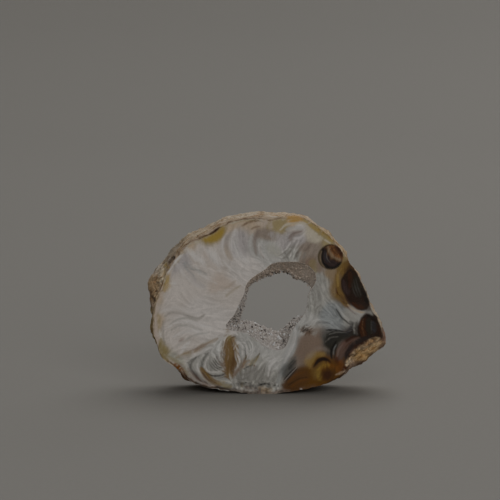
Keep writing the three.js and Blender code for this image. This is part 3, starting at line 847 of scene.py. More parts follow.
rightEdge = [
    ("gold", 1.6, [(20.3, 34.1), (18.9, 32.3), (18.1, 29.9), (18.2, 27.3), (19.1, 25.2),
                   (20.7, 23.5)], 0.85, dict(taper=0.3)),
    ("mustard", 0.6, [(19.3, 33.1), (18.4, 31), (18.5, 28.4)], 0.4),
    ("burnt", 0.4, [(18, 27.9), (18.4, 26.6), (19.2, 25.6), (19.8, 24.4),
                    (20.7, 23.8)], 0.8, dict(comb=0.8)),
    ("brown", 0.3, [(19.1, 26.5), (19.8, 25.3), (20.2, 24.2)], 0.6),
    ("tan", 1.4, [(17.2, 31.3), (16.9, 28.6), (17.5, 26)], 0.45),
    ("buff", 0.5, [(21.1, 23.6), (22.4, 22.5), (24, 21.7), (25.5, 21.6)], 0.8),
    ("rosy", 0.4, [(20.6, 23.4), (22.1, 21.9), (23.7, 21)], 0.6),
    ("violet", 1.5, [(19.9, 29.9), (20.3, 28.1), (21.2, 26.5)], 0.7),
    ("burnt", 1.1, [(21.4, 32), (21.6, 29.9), (21.5, 28.1)], 0.7),
    ("greenBlack", 2.4, [(22.9, 30.7), (23.4, 28.1), (24.2, 25.7)], 0.85),
    ("slate", 0.2, [(22.5, 30.2), (23.1, 27.8), (23.8, 26)], 0.4),
    ("slate", 0.2, [(23.1, 30.5), (23.7, 28.1), (24.5, 26.1)], 0.4),
    ("slate", 0.2, [(22.1, 29.2), (22.5, 27.3), (23.3, 25.7)], 0.4),
    ("burnt", 1.3, [(22.4, 24), (23.7, 23), (25.1, 22.9)], 0.75),
    ("black", 1.0, [(24.8, 27.8), (25.7, 25.7), (26.2, 23.9)], 0.75),
    ("ivory", 0.35, [(19, 38.4), (21.6, 35.5), (23.2, 33.1), (24.5, 30.2), (25.8, 27.3), (26.8, 24.7),
                     (27.6, 22.1), (29.4, 19.7), (30.7, 15.2)], 0.7),
    ("smoke", 0.4, [(18, 22.5), (18.8, 21.3), (19.5, 20.2), (20.6, 19.3),
                    (21.8, 18.3)], 0.8, dict(comb=0.1)),
    ("smoke", 0.9, [(21.6, 19.2), (22.5, 18.5), (23.2, 18.9)], 0.6),
    ("coolWhite", 0.5, [(18.7, 22.6), (19.6, 21.2), (20.9, 20.2)], 0.5),
    ("slate", 0.5, [(23.6, 19.4), (23.3, 17.6), (23.6, 15.5)], 0.7),
    ("paleGrey", 0.4, [(23.1, 19.7), (22.7, 17.9), (22.9, 16)], 0.6),
    ("slate", 0.4, [(22.5, 18.9), (22.3, 17.3)], 0.5),
    ("burnt", 0.5, [(24.6, 19.7), (24.4, 17.6), (24.9, 15.2)], 0.9),
    ("copper", 0.25, [(25.1, 20), (24.9, 17.6), (25.4, 15.4)], 0.5),
    ("burnt", 0.4, [(25.5, 20.1), (25.4, 17.6), (25.8, 15.5)], 0.8),
    ("greenBlack", 1.5, [(26.7, 20), (26.6, 17.6), (27, 15.8)], 0.85),
    # Painted sheen: a dark bluish band, with a faint slate line, on the third eye
    ("navy", 1.2, [(27.7, 19.2), (27.9, 17.6), (28, 16)], 0.7),
    ("slate", 0.2, [(27.2, 19.4), (27.2, 17.6), (27.4, 16)], 0.4),
    ("black", 0.8, [(25.9, 20.9), (27.1, 20.5), (28.4, 19.2)], 0.6),
    ("redBrown", 0.9, [(28.9, 18.1), (29.6, 16.5), (29.6, 15)], 0.6),
]

# Lower right: dark waves below the third eye, a beige pool, and the honey pool with its blot
lowerRightPatches = [
    ("slate", [(14.6, 15), (16.2, 16.3), (19, 16), (21.6, 15.8), (19.8, 14.2), (18.2, 12.3), (17.2, 10.2),
               (15.4, 11), (14.3, 12.9)], 0.85, 0.9),
    ("greenBlack", [(15.1, 15), (17.2, 15.9), (19.8, 15.9), (21.4, 15.5), (19.3, 13.9), (18, 12.3),
                    (16.9, 10.8), (15.4, 11.6)], 0.9, 0.8),
    ("beige", [(8.8, 15.3), (12.2, 15), (14.2, 14), (12.6, 11.5), (10.6, 8.2), (7.2, 7.9),
               (7.2, 11)], 0.65, 1.0),
    ("honey", [(13.3, 8), (15.2, 9.6), (17.8, 8.6), (19.3, 6), (17, 3.4), (12, 2.2), (7, 1.4), (6.6, 4),
               (10.6, 5.8)], 0.85, 0.8),
    ("brown", [(4.2, 2.1), (6, 4.5), (8.3, 6.6), (10.9, 6), (10.7, 3.4), (8.6, 1.3), (6, 1)], 0.7, 0.8),
    ("mustard", [(9.9, 8.4), (10.9, 10.5), (13, 11.4), (15.1, 11), (14.9, 10), (13, 9.5), (12, 7.9),
                 (11.5, 6.8)], 0.5, 0.7),
    ("taupe", [(10.4, 9.6), (11.4, 11.4), (13.4, 12.5), (15.6, 12.3), (16.9, 11), (15.4, 11.4), (13.2, 11.2),
               (11.6, 9.6)], 0.5, 0.6),
    ("gold", [(12, 7.4), (13.8, 8.1), (14.3, 6.8), (13.8, 4.7), (12.5, 3.7), (11.7, 5.5)], 0.6, 0.7),
    ("redBrown", [(14.3, 6), (15.9, 7), (17.7, 6.3), (18, 4.5), (16.7, 3.1), (14.9, 3.4),
                  (13.9, 4.7)], 0.45, 0.9, 0.6),
    ("redBrown", [(15.1, 5.9), (16.7, 6.1), (17.3, 4.8), (16, 3.8), (14.8, 4.5)], 0.75, 0.6),
    ("brown", [(12.3, 6.9), (13, 8.9), (14.8, 9.5), (16.4, 8.6), (16.1, 7.8), (14.6, 7.9),
               (13.3, 7.1)], 0.6, 0.5, 0.05),
    ("darkBrown", [(12.1, 7), (12.9, 8.9), (13.8, 9.6), (15.1, 9.8), (16.3, 9.1), (16.9, 8), (15.9, 8.6),
                   (14.6, 8.8), (13.4, 8.2)], 1, 0.2, 0.05),
    ("umber", [(18.5, 9.7), (19, 11.8), (20.6, 13.4), (22.4, 14.7), (24.5, 15), (23.4, 13.7), (21.6, 12.3),
               (20.7, 10.5), (20.6, 8.4), (19.3, 8.4)], 0.85, 0.4),
    ("brown", [(8.6, 17.3), (10.2, 17.7), (11.7, 17.2), (11.7, 16), (10.2, 15.9),
               (8.9, 16.3)], 0.6, 0.45, 0.7),
]
lowerRight = [
    ("blueGrey", 1.7, [(6.6, 20.5), (7.6, 16.8), (6.9, 12.9), (5, 8.9), (2.8, 2.4)], 0.5),
    ("milk", 0.9, [(7.2, 18.4), (7.4, 15.5), (6.4, 12.1), (4.6, 8.4)], 0.45),
    ("smoke", 2.4, [(16.2, 13.6), (17.2, 14.9), (19.2, 15.6)], 0.75),
    ("black", 0.35, [(15.4, 16.9), (17, 17), (19.2, 16.7), (21.4, 16.3), (22.9, 17.5)], 0.8),
    ("black", 0.35, [(15.9, 15.8), (17.7, 16.4), (19.5, 15.9), (21.2, 15.9)], 0.7),
    ("paleGrey", 0.25, [(16.2, 15.8), (18.2, 16.3), (20.6, 16.3), (22.1, 16.9)], 0.5),
    ("smoke", 1.4, [(15.6, 14.6), (18, 15.5), (20.8, 15.7), (23.2, 16)], 0.8),
    ("navy", 1.1, [(20.6, 16), (21.6, 17.1), (22.7, 18.6)], 0.65),
    ("grey", 0.3, [(15.2, 13.7), (16.6, 14.9), (18.6, 15.2)], 0.4),
    ("mauve", 0.45, [(18.4, 10), (18.8, 11.6), (19.8, 13)], 0.45),
    ("rosy", 0.6, [(19.3, 10), (19.7, 11.5), (20.8, 13.1), (22.5, 14.3), (24, 15)], 0.45),
    ("rosy", 0.35, [(20.2, 10.2), (20.5, 11.3), (21.5, 12.7), (22.9, 13.8)], 0.5),
    ("violetBlack", 1.2, [(20.7, 8.4), (20.9, 10.5), (21.8, 12.3), (23.4, 13.7), (25.3, 14.6),
                          (26.6, 15.2)], 0.95, dict(taper=0.3)),
    ("burnt", 0.35, [(19.9, 11.4), (20.9, 12.9), (22.6, 14.3)], 0.5),
    ("black", 0.55, [(18.2, 14.1), (17.3, 12.6), (16.8, 10.9), (17, 9.3)], 0.95, dict(taper=0.7, comb=0.1)),
    # Painted sheen: a faint blue-grey line inside the black crescent above
    ("blueGrey", 0.2, [(18.1, 13.1), (17.5, 11.8), (17.4, 10.5)], 0.5),
    ("black", 0.25, [(18.6, 13.3), (18, 11.9), (17.8, 10.5), (17.6, 9.5)], 0.8, dict(comb=0.1)),
    ("brown", 0.9, [(20.1, 9.7), (20.2, 7.9), (19.7, 6.6)], 0.8),
    ("orange", 1.3, [(19.4, 8.9), (19.2, 7.4), (18.5, 6)], 0.6),
    ("orange", 1.2, [(13.5, 6.3), (15.4, 7.7), (17.5, 7.4), (18.8, 5.8)], 0.5),
    ("smoke", 0.5, [(9.1, 16.5), (10.2, 17.1), (11.2, 16.4)], 0.6, dict(comb=1.0)),
    ("paleGrey", 1.2, [(11.7, 16), (13, 16.4)], 0.45),
    ("ochre", 1.3, [(13.2, 6.6), (14.6, 7.7), (16.2, 7.7)], 0.4),
    ("ochre", 1.2, [(13.7, 6.8), (13.4, 5.2), (14.1, 3.6)], 0.35),
    ("slate", 1.6, [(7.3, 9.7), (6, 7.4), (4.4, 4.7)], 0.6),
    ("smoke", 1.1, [(7.6, 8.8), (6.7, 7.8), (5.8, 6.6)], 0.55),
    ("black", 0.28, [(7.6, 7.1), (6, 5.5), (4.4, 3.7)], 0.85),
    ("black", 0.28, [(8, 6.8), (6.4, 5.1), (5, 3.4)], 0.7),
    ("milk", 0.2, [(7.8, 7), (6.2, 5.3), (4.7, 3.6)], 0.3),
    ("orange", 0.4, [(6.3, 1.8), (8.6, 3.4), (11.2, 3.9)], 0.5),
    ("orange", 0.4, [(5.5, 3.1), (7.6, 5), (10, 5.9)], 0.4),
    ("darkBrown", 0.3, [(5.7, 2.4), (8.2, 4), (10.8, 4.5)], 0.4),
    # Painted highlight: a small white glint near the foot
    ("milk", 0.4, [(8.7, 1.5), (9.2, 1.2)], 0.8),
    ("cream", 0.5, [(18, 5.1), (19.8, 5.8), (21.6, 6.6)], 0.6),
    ("black", 0.3, [(17.2, 3.6), (19.5, 4.9), (21.6, 6.4)], 0.75),
]

# Rough places outside the polished face: the knob at the left, and the chipped corner
knobTop = [(-29, 35.4), (-26.4, 35.6), (-26.2, 31), (-27.4, 29), (-30, 29.4), (-31, 32)]
knobSide = [(-31, 31), (-28.6, 31), (-28.3, 25), (-30.6, 24.6)]
chipOutline = [
    (22.1, 10.8), (23.7, 12.6), (25.8, 13.9), (27.9, 15), (29.7, 14.7), (30.2, 13.1), (29.4, 11.6),
    (27.4, 10), (24.7, 8.7), (22.1, 7.4), (20.6, 7.6), (20.8, 9.2),
]
knobPatches = [
    ("ivory", knobTop, 0.8, 0.5),
    ("buff", knobSide, 0.85, 0.5),
    ("buff", chipOutline, 0.9, 0.3),
    ("amber", [(22.7, 10.8), (24.2, 11.8), (25, 10.5), (23.4, 8.9)], 0.55, 0.35),
    ("cream", [(25, 12.6), (27.9, 14.1), (28.7, 12.3), (25.8, 10.8)], 0.5, 0.5, 0.6),
]
knobMarks = [
    ("darkBrown", 0.6, [(-25.4, 34.3), (-23.9, 36)], 0.8),
    ("mustard", 0.9, [(-27, 33.8), (-25.4, 33.1)], 0.9),
    ("mustard", 1.0, [(-26.6, 32.3), (-26, 30.4), (-26.6, 28.6)], 0.7, dict(comb=0.8)),
    # Painted highlight: the thin white line along the polished face's edge above the knob
    ("milk", 0.35, [(-22.4, 36.6), (-24.2, 34.4), (-25.6, 32)], 0.8),
    ("orange", 1.0, [(-30.2, 30), (-29.2, 28)], 0.35, dict(comb=0.8)),
    ("darkBrown", 0.5, [(-29.9, 30.3), (-29.5, 30.1)], 0.8),
    ("darkBrown", 0.4, [(-29, 29.5), (-28.7, 29.3)], 0.8),
    ("darkBrown", 0.8, [(-30.4, 25.6), (-29, 24.6)], 0.75),
    ("oliveDark", 0.5, [(-30.4, 24.4), (-30, 20), (-30.2, 15.5), (-29.4, 13), (-28.5, 10.4)], 0.65),
    ("blush", 0.8, [(-29, 20), (-29, 16), (-28.6, 13)], 0.7),
    ("darkBrown", 0.3, [(24.8, 12.7), (24.9, 11.3), (25.3, 9.5)], 0.8),
    ("darkBrown", 0.3, [(26.6, 13.5), (26.8, 12.1), (27.4, 10.5)], 0.5),
    ("darkBrown", 0.3, [(28.1, 14.3), (28.4, 12.6), (28.9, 11.6)], 0.45),
    ("darkBrown", 0.3, [(22.4, 10.6), (23.6, 9.6), (24.4, 8.8)], 0.55),
    # Painted shadow: the dark line along the chipped corner's lower edge
    ("darkBrown", 0.7, [(22.8, 7.4), (24.4, 7.9), (26.9, 9.4), (29.2, 11.2),
                        (30.2, 12.6)], 0.85, dict(comb=0.9)),
    ("redBrown", 0.5, [(21, 9.4), (22.4, 11.4), (24.6, 13.2), (27, 14.6)], 0.8, dict(comb=0.6)),
    ("umber", 0.7, [(30.1, 18), (30.6, 16.2), (30.7, 14.6)], 0.6, dict(comb=1.2)),
    ("ivory", 1.2, [(20.6, 7.6), (21.9, 8.5), (23.2, 8.9)], 0.6, dict(comb=1.2)),
    ("milk", 0.6, [(29.1, 13.8), (29.7, 12.6)], 0.95),
    ("tan", 0.8, [(30.6, 15.4), (30.8, 14.3)], 0.8),
]

# Where the stone crumbles: outline, how much, and how coarse
foot = [(-8, 3), (-2, 3.6), (3, 2.8), (2.6, 0), (-4, -0.6), (-8, 0.6)]
crumbly = [
    (knobTop, 1.1, 0.6),
    (knobSide, 1.1, 0.6),
    (chipOutline, 1.1, 0.6),
    (foot, 0.9, 0.6),
]

# The rind's cut layers: colour, from and to direction, depth, width, strength, how broken
rimLayers = [
    ("cream", 38, 215, 0.1, 0.9, 0.9, 0.2), ("ivory", 60, 165, 0.6, 0.4, 0.9, 0.8),
    ("brown", 75, 170, 0.35, 0.3, 0.75, 0.75), ("oliveGold", 95, 175, 0.9, 0.5, 0.5, 0.6),
    ("umber", 62, 110, 0.9, 0.2, 0.6, 0.9), ("umber", 70, 160, 0.15, 0.2, 0.6, 0.8),
    ("oliveDark", 165, 235, 0.15, 0.35, 0.75, 0.5), ("blush", 160, 215, 0.8, 0.6, 0.7, 0.3),
    ("olive", 185, 225, 1.3, 0.9, 0.5, 0.4), ("brown", 205, 262, 0.2, 0.5, 0.8, 0.4),
    ("darkBrown", 225, 300, 0.1, 0.25, 0.7, 0.5), ("rosy", 225, 270, 0.7, 0.5, 0.45, 0.5),
    ("beige", 255, 285, 0.6, 0.9, 0.5, 0.5), ("cream", 345, 359, 0.1, 0.7, 0.9, 0.3),
    ("cream", 0, 45, 0.1, 0.7, 0.9, 0.3), ("brown", 4, 60, 0.55, 0.2, 0.6, 0.5),
    ("beige", 262, 300, 0.3, 1.0, 0.6, 0.5), ("smoke", 240, 290, 0.5, 0.35, 0.55, 0.7),
]
rimLook = {
    "middleHeight": 24,  # the directions are seen from here, over the stone's middle
    "waver": (0.9, 0.4),
    "waverCells": (2.4, 0.7),
    "edge": (0.35, 0.75),  # of a layer's width
    "endFade": 4,  # in degrees
    "dashCells": (2.2, 0.5),
    "dashEdge": (0.42, 0.58),
}


def paintRim(faceEdge):
    # Thin layers of the rind, cut through where the face meets it. Each holds between two directions
    # from the middle of the face, and breaks up into dashes.
    gap = -outsideGap(faceEdge[::4], gridX, gridZ)
    for amount, cell, seed in zip(rimLook["waver"], rimLook["waverCells"], seeds["rim"]):
        gap = gap + amount * (cloud(cell, seed) - 0.5)
    angle = np.degrees(np.arctan2(gridZ - rimLook["middleHeight"], gridX)) % 360
    fade = rimLook["endFade"]
    core, edge = rimLook["edge"]
    for number, (colour, start, end, depth, width, strength, broken) in enumerate(rimLayers):
        share = 1 - softStep(np.abs(gap - depth), width * core, width * edge)
        share *= softStep(angle, start - fade, start + fade) * (1 - softStep(angle, end - fade, end + fade))
        dashes = 0
        for cell, seed in zip(rimLook["dashCells"], seeds["rimDashes"]):
            dashes = dashes + 0.5 * cloud(cell, seed + number)
        share *= strength * (1 - broken * softStep(dashes, *rimLook["dashEdge"]))
        cover(..., colour, share)


def paintRoundEye():
    # A dark disc with its stripes, cut off at its own edge
    middle, radius = roundEye["middle"], roundEye["radius"]
    disc = []
    for corner in range(roundEye["corners"]):
        turn = 2 * math.pi * corner / roundEye["corners"]
        disc.append((middle[0] + radius * math.cos(turn), middle[1] + radius * math.sin(turn)))
    patch("violetBlack", disc, 1, 0.2, 0.05)
    before = paint.copy()
    lay(strand, roundEyeMarks)
    gap = np.hypot(gridX - middle[0], gridZ - middle[1]) - radius
    kept = 1 - softStep(gap, *roundEye["edge"])
    paint[:] = before + (paint - before) * kept[..., None]


def paintFace(faceEdge):
    paintRim(faceEdge)
    lay(strand, lowerLeft)
    lay(patch, trunkPatches)
    lay(strand, trunk)
    lay(patch, upperLeftPatches)
    lay(strand, upperLeft)
    lay(patch, topPatches)
    lay(strand, top)
    lay(patch, lowerRightPatches)
    lay(patch, rightPatches)
    lay(strand, lowerRight)
    lay(strand, rightEdge)
    lay(patch, knobPatches)
    lay(strand, knobMarks)
    lay(crumble, crumbly)
    paintRoundEye()


def sampleSheet(x, z):
    # The paint at any place of the face, blended from the four points of the sheet round it
    u = np.clip((x - paper["left"]) / paper["step"], 0, paint.shape[1] - 1.001)
    v = np.clip((z - paper["bottom"]) / paper["step"], 0, paint.shape[0] - 1.001)
    j, i = u.astype(int), v.astype(int)
    a, b = (u - j)[:, None], (v - i)[:, None]
    low = paint[i, j] * (1 - a) + paint[i, j + 1] * a
    high = paint[i + 1, j] * (1 - a) + paint[i + 1, j + 1] * a
    return low * (1 - b) + high * b


# The stone. Its rings are taken from the solid, refined, joined again and roughened.

stone = {
    "front": -7.0,
    "back": 7.0,
    "ringCuts": 4,  # new points between two corners of a ring
    "smoothRounds": 10,
    "faceCuts": 83,
    "backCuts": 36,
    "rindCuts": 2,
    "rimWaver": 0.22,
    "rimWaves": [(1, 0.8, (5, 2, 8)), (0.6, 2.3, (1, 6, 3))],
    "lump": 0.35,
    "lumpWaves": [(0.55, 0.32, (3, 1, 7)), (0.45, 0.8, (9, 4, 2))],
    "ledge": 2.2,  # how much closer together the lumps are from front to back than along the edge
    "pit": 0.3,
    "pitScale": 1.3,
    "pitReach": 0.35,
    "edgeFade": 0.8,  # the roughness fades out this near to a cut face
    "drift": 1.2,  # how far the bands shift from the front to the back
    "driftTurns": (0.21, 0.17),
    "toneCore": 0.2,  # how broad the even middle of a rind tone is
    "bleedStart": 0.06,
    "bleed": 0.16,  # how far back the markings show on the rind, as a share of the thickness
    "knobBleed": 0.3,  # and how much further over the knob
    "knobEdge": (22, 25),
}
polish, rind, wall = 0, 1, 2  # the stone's material slots
samePlace = 2e-6


def ringsOf(nodeName):
    # The edges that run round the solid, each ring at one depth, without the faces between them
    bm = bmesh.new()
    bm.from_mesh(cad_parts[nodeName].data)
    bmesh.ops.remove_doubles(bm, verts=bm.verts, dist=samePlace)
    lost = []
    for edge in bm.edges:
        slanted = abs(edge.verts[0].co.y - edge.verts[1].co.y) > samePlace
        inFlat = all(abs(face.normal.y) > 0.999 for face in edge.link_faces)
        if slanted or inFlat:
            lost.append(edge)
    bmesh.ops.delete(bm, geom=bm.faces[:], context="FACES_ONLY")
    bmesh.ops.delete(bm, geom=lost, context="EDGES")
    return bm


def splitRings(bm):
    rings = []
    seen = set()
    for start in bm.verts:
        if start in seen:
            continue
        ring, spot = [], start
        while spot is not None and spot not in seen:
            seen.add(spot)
            ring.append(spot)
            ahead = (edge.other_vert(spot) for edge in spot.link_edges)
            spot = next((vert for vert in ahead if vert not in seen), None)
        rings.append(ring)
    return sorted(rings, key=lambda ring: ring[0].co.y)


def ringEdges(*rings):
    found = []
    for ring in rings:
        inside = set(ring)
        found += list({e for v in ring for e in v.link_edges if e.other_vert(v) in inside})
    return found


def middleOf(ring):
    return sum((vert.co for vert in ring), Vector()) / len(ring)


def outerAndInner(rings):
    # The rind's rings are wide and the hollow's are narrow
    reaches = []
    for ring in rings:
        middle = middleOf(ring)
        reaches.append(sum((vert.co - middle).length for vert in ring) / len(ring))
    limit = np.mean(reaches)
    outer = [ring for ring, reach in zip(rings, reaches) if reach > limit]
    inner = [ring for ring, reach in zip(rings, reaches) if reach <= limit]
    return outer, inner


def waves(spot, kinds):
    # Noise of several sizes: for each its share, its scale, and where it is read
    return sum(share * noise.noise(spot * scale + Vector(shift)) for share, scale, shift in kinds)


def waverRim(ring):
    middle = middleOf(ring)
    for vert in ring:
        jag = stone["rimWaver"] * waves(vert.co / mm, stone["rimWaves"])
        vert.co += (vert.co - middle).normalized() * (jag * mm)


def buildStone():
    bm = ringsOf("agate_slice")
    strip = bm.edges.layers.int.new("strip")
    strips = {"wall": 0, "face": 1, "back": 2, "rind": 3}
    bmesh.ops.subdivide_edges(bm, edges=bm.edges[:], cuts=stone["ringCuts"])
    for _ in range(stone["smoothRounds"]):
        bmesh.ops.smooth_vert(bm, verts=bm.verts, factor=0.5, use_axis_x=True, use_axis_z=True)
    outer, inner = outerAndInner(splitRings(bm))

    def join(a, b, name, slot):
        made = bmesh.ops.bridge_loops(bm, edges=ringEdges(a, b))
        for face in made["faces"]:
            face.material_index = slot
        for edge in made["edges"]:
            edge[strip] = strips[name]

    for ring in outer:
        waverRim(ring)
    faceEdge = np.array([(v.co.x / mm, v.co.z / mm) for v in outer[0]])
    join(inner[0], outer[0], "face", polish)
    join(inner[-1], outer[-1], "back", polish)
    for a, b in zip(outer, outer[1:]):
        join(a, b, "rind", rind)
    for a, b in zip(inner, inner[1:]):
        join(a, b, "wall", wall)
    # All strips are joined before any is cut into rows
    for name in ("face", "back", "rind"):
        across = [edge for edge in bm.edges if edge[strip] == strips[name]]
        bmesh.ops.subdivide_edges(bm, edges=across, cuts=stone[name + "Cuts"], use_grid_fill=True)
    for face in bm.faces:
        face.smooth = True
    for edge in bm.edges:
        edge.smooth = len({face.material_index for face in edge.link_faces}) == 1
    # The chipped corner is rough also where it meets the face
    flat = [face for face in bm.faces if face.material_index == polish and face.verts[0].co.y < 0]
    centres = np.array([face.calc_center_median() / mm for face in flat])
    chipped = insideOf(smoothLine(chipOutline, closed=True), centres[:, 0], centres[:, 2])
    for face, rough in zip(flat, chipped):
        face.material_index = rind if rough else polish
    bmesh.ops.recalc_face_normals(bm, faces=bm.faces)
    print("stone faces", len(bm.faces))
    return bm, faceEdge


def roughness(spot):
    # Lumps and pits of the rind. The lumps are drawn out into ledges along the edge.
    ledge = Vector((spot.x, spot.y * stone["ledge"], spot.z))
    nearest = noise.voronoi(spot * stone["pitScale"])[0][0]
    dent = max(0, stone["pitReach"] - nearest) / stone["pitReach"]
    return stone["lump"] * waves(ledge, stone["lumpWaves"]) - stone["pit"] * dent


def finishStone(bm):
    bm.normal_update()
    for vert in bm.verts:
        kinds = {face.material_index for face in vert.link_faces}
        if rind not in kinds or polish in kinds:
            continue
        spot = vert.co / mm
        fade = min(1, min(spot.y - stone["front"], stone["back"] - spot.y) / stone["edgeFade"])
        vert.co += vert.normal * (roughness(spot) * fade * mm)
    low, high = cadBox
    for vert in bm.verts:
        vert.co = Vector(max(l, min(h, c)) for l, c, h in zip(low, vert.co, high))
    return meshOf(bm, "agate_stone")


def placesOf(mesh):
    places = np.zeros(len(mesh.vertices) * 3)
    mesh.vertices.foreach_get("co", places)
    return (places.reshape(-1, 3) / mm).T


def addColour(mesh, name, colour):
    layer = mesh.attributes.new(name, "FLOAT_COLOR", "POINT")
    layer.data.foreach_set("color", np.column_stack([colour, np.ones(len(colour))]).ravel())


def throughShare(y):
    # How far through the stone a place lies, 0 at the front and 1 at the back
    return (y - stone["front"]) / (stone["back"] - stone["front"])


# The rind's tones: where each has its middle, how far it reaches, and its colour
rindTones = [
    (-29, 33, 3, (0.72, 0.66, 0.58)), (-30, 29, 2.5, (0.68, 0.52, 0.34)),
    (-29.5, 25.5, 2, (0.30, 0.17, 0.08)), (-26.8, 37.4, 2.6, (0.50, 0.45, 0.37)),
    (-25.8, 33.2, 1.3, (0.74, 0.58, 0.20)), (-26.4, 30.6, 1.3, (0.74, 0.64, 0.36)),
    (-24.4, 35.4, 1, (0.26, 0.19, 0.08)), (-31, 18, 4, (0.46, 0.36, 0.17)), (-24, 7, 4, (0.34, 0.20, 0.10)),
    (-12, 2, 4, (0.42, 0.31, 0.22)), (0, 0, 4, (0.40, 0.33, 0.27)), (12, 2, 4, (0.32, 0.20, 0.10)),
    # Painted shadow: the dark tones near (24.7, 7.4) and (27.8, 9.2) darken the chip's lower edge
    (21.5, 6.5, 2, (0.50, 0.37, 0.29)), (24.7, 7.4, 1.2, (0.24, 0.16, 0.11)),
    # The bright tones near (25, 10.5) and (28, 12.8) are the chip's buff colour, painted lighter to make up
    # for the shade on its downward faces
    (27.8, 9.2, 1.2, (0.24, 0.16, 0.10)), (25, 10.5, 2.2, (0.86, 0.60, 0.31)),
    (28, 12.8, 2.2, (0.84, 0.62, 0.36)), (30.2, 11.8, 1.2, (0.32, 0.21, 0.14)),
    (31, 15.4, 2, (0.44, 0.28, 0.22)), (28, 22, 4, (0.70, 0.58, 0.45)), (24, 31, 4, (0.66, 0.52, 0.38)),
    (18, 40, 4, (0.66, 0.53, 0.36)), (8, 47, 4, (0.74, 0.60, 0.44)), (-6, 47, 4, (0.70, 0.60, 0.47)),
    (-18, 42, 4, (0.70, 0.60, 0.46)),
]


def paintStone(mesh):
    x, y, z = placesOf(mesh)
    depth = throughShare(y)
    # The bands drift a little through the stone's thickness
    drift = depth * stone["drift"]
    turnX, turnZ = stone["driftTurns"]
    colour = sampleSheet(x + drift * np.sin(z * turnX), z + drift * np.cos(x * turnZ))
    addColour(mesh, "paint", colour)
    total = np.zeros(len(x))
    tones = np.zeros((len(x), 3))
    for toneX, toneZ, reach, tone in rindTones:
        near = ((x - toneX) ** 2 + (z - toneZ) ** 2) / reach ** 2
        weight = 1 / (stone["toneCore"] + near) ** 3
        total += weight
        tones += weight[:, None] * np.array(tone)
    # Near the face the markings still show on the rind, and further back over the knob
    knob = softStep(-x, *stone["knobEdge"]) * softStep(z, *stone["knobEdge"])
    reachBack = stone["bleed"] + stone["knobBleed"] * knob
    mix = softStep(depth / reachBack, stone["bleedStart"], 1)[:, None]
    addColour(mesh, "rind", colour * (1 - mix) + tones / total[:, None] * mix)


def polishedAgate():
    material, add, dress = nodeMaterial("polished_agate")
    place = add("ShaderNodeTexCoord").outputs["Object"]
    colour = add("ShaderNodeAttribute", {"attribute_name": "paint"}).outputs["Color"]
    tone = spread(add, grains(add, place, 2600, 3, 0.6), 0.93, 1.07)
    gloss = spread(add, grains(add, place, 140, 4), 0.13, 0.22)
    dress({"Base Color": multiplied(add, colour, tone), "Roughness": gloss, "IOR": 1.54})
    return material


def agateRind():
    material, add, dress = nodeMaterial("agate_rind")
    place = add("ShaderNodeTexCoord").outputs["Object"]
    colour = add("ShaderNodeAttribute", {"attribute_name": "rind"}).outputs["Color"]
    along = add("ShaderNodeMapping", inputs={"Vector": place, "Scale": (1, 3.2, 1)}).outputs["Vector"]
    layers = grains(add, along, 420, 4, 0.6)
    dust = spread(add, grains(add, place, 1900, 3, 0.6), 0.85, 1.25)
    cells = add("ShaderNodeTexVoronoi", {"feature": "DISTANCE_TO_EDGE"},
                {"Vector": along, "Scale": 620, "Randomness": 1.0})
    cracks = spread(add, cells.outputs["Distance"], 0.62, 1, 0, 0.08)
    shade = add("ShaderNodeMath", {"operation": "MULTIPLY"}, {0: dust, 1: cracks}).outputs["Value"]
    ramp = add("ShaderNodeValToRGB", inputs={"Fac": layers})
    stops = ramp.color_ramp.elements
    stops[0].position = 0.38
    stops[0].color = (0.62, 0.49, 0.36, 1)
    stops[1].position = 0.62
    stops[1].color = (1, 0.98, 0.94, 1)
    stops.new(0.48).color = (0.92, 0.86, 0.78, 1)
    height = add("ShaderNodeMath", {"operation": "MULTIPLY_ADD"}, {0: layers, 1: 2.0, 2: shade})
    bump = add("ShaderNodeBump",
               inputs={"Height": height.outputs["Value"], "Strength": 0.8, "Distance": 0.3 * mm})
    layered = multiplied(add, colour, ramp.outputs["Color"])
    dress({
        "Base Color": multiplied(add, layered, shade),
        "Roughness": 0.7,
        "Normal": bump.outputs["Normal"],
    })
    return material


stoneForm, faceEdge = buildStone()
paintFace(faceEdge)
stoneMesh = finishStone(stoneForm)
paintStone(stoneMesh)
polishedFinish = polishedAgate()
for finish in (polishedFinish, agateRind(), polishedFinish):
    stoneMesh.materials.append(finish)
stonePiece = addObject("agate_stone", stoneMesh)
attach(stonePiece, "root")
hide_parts("agate_slice")
print("stone built")


# The druse: a grainy floor on the hollow's wall, set with small quartz points

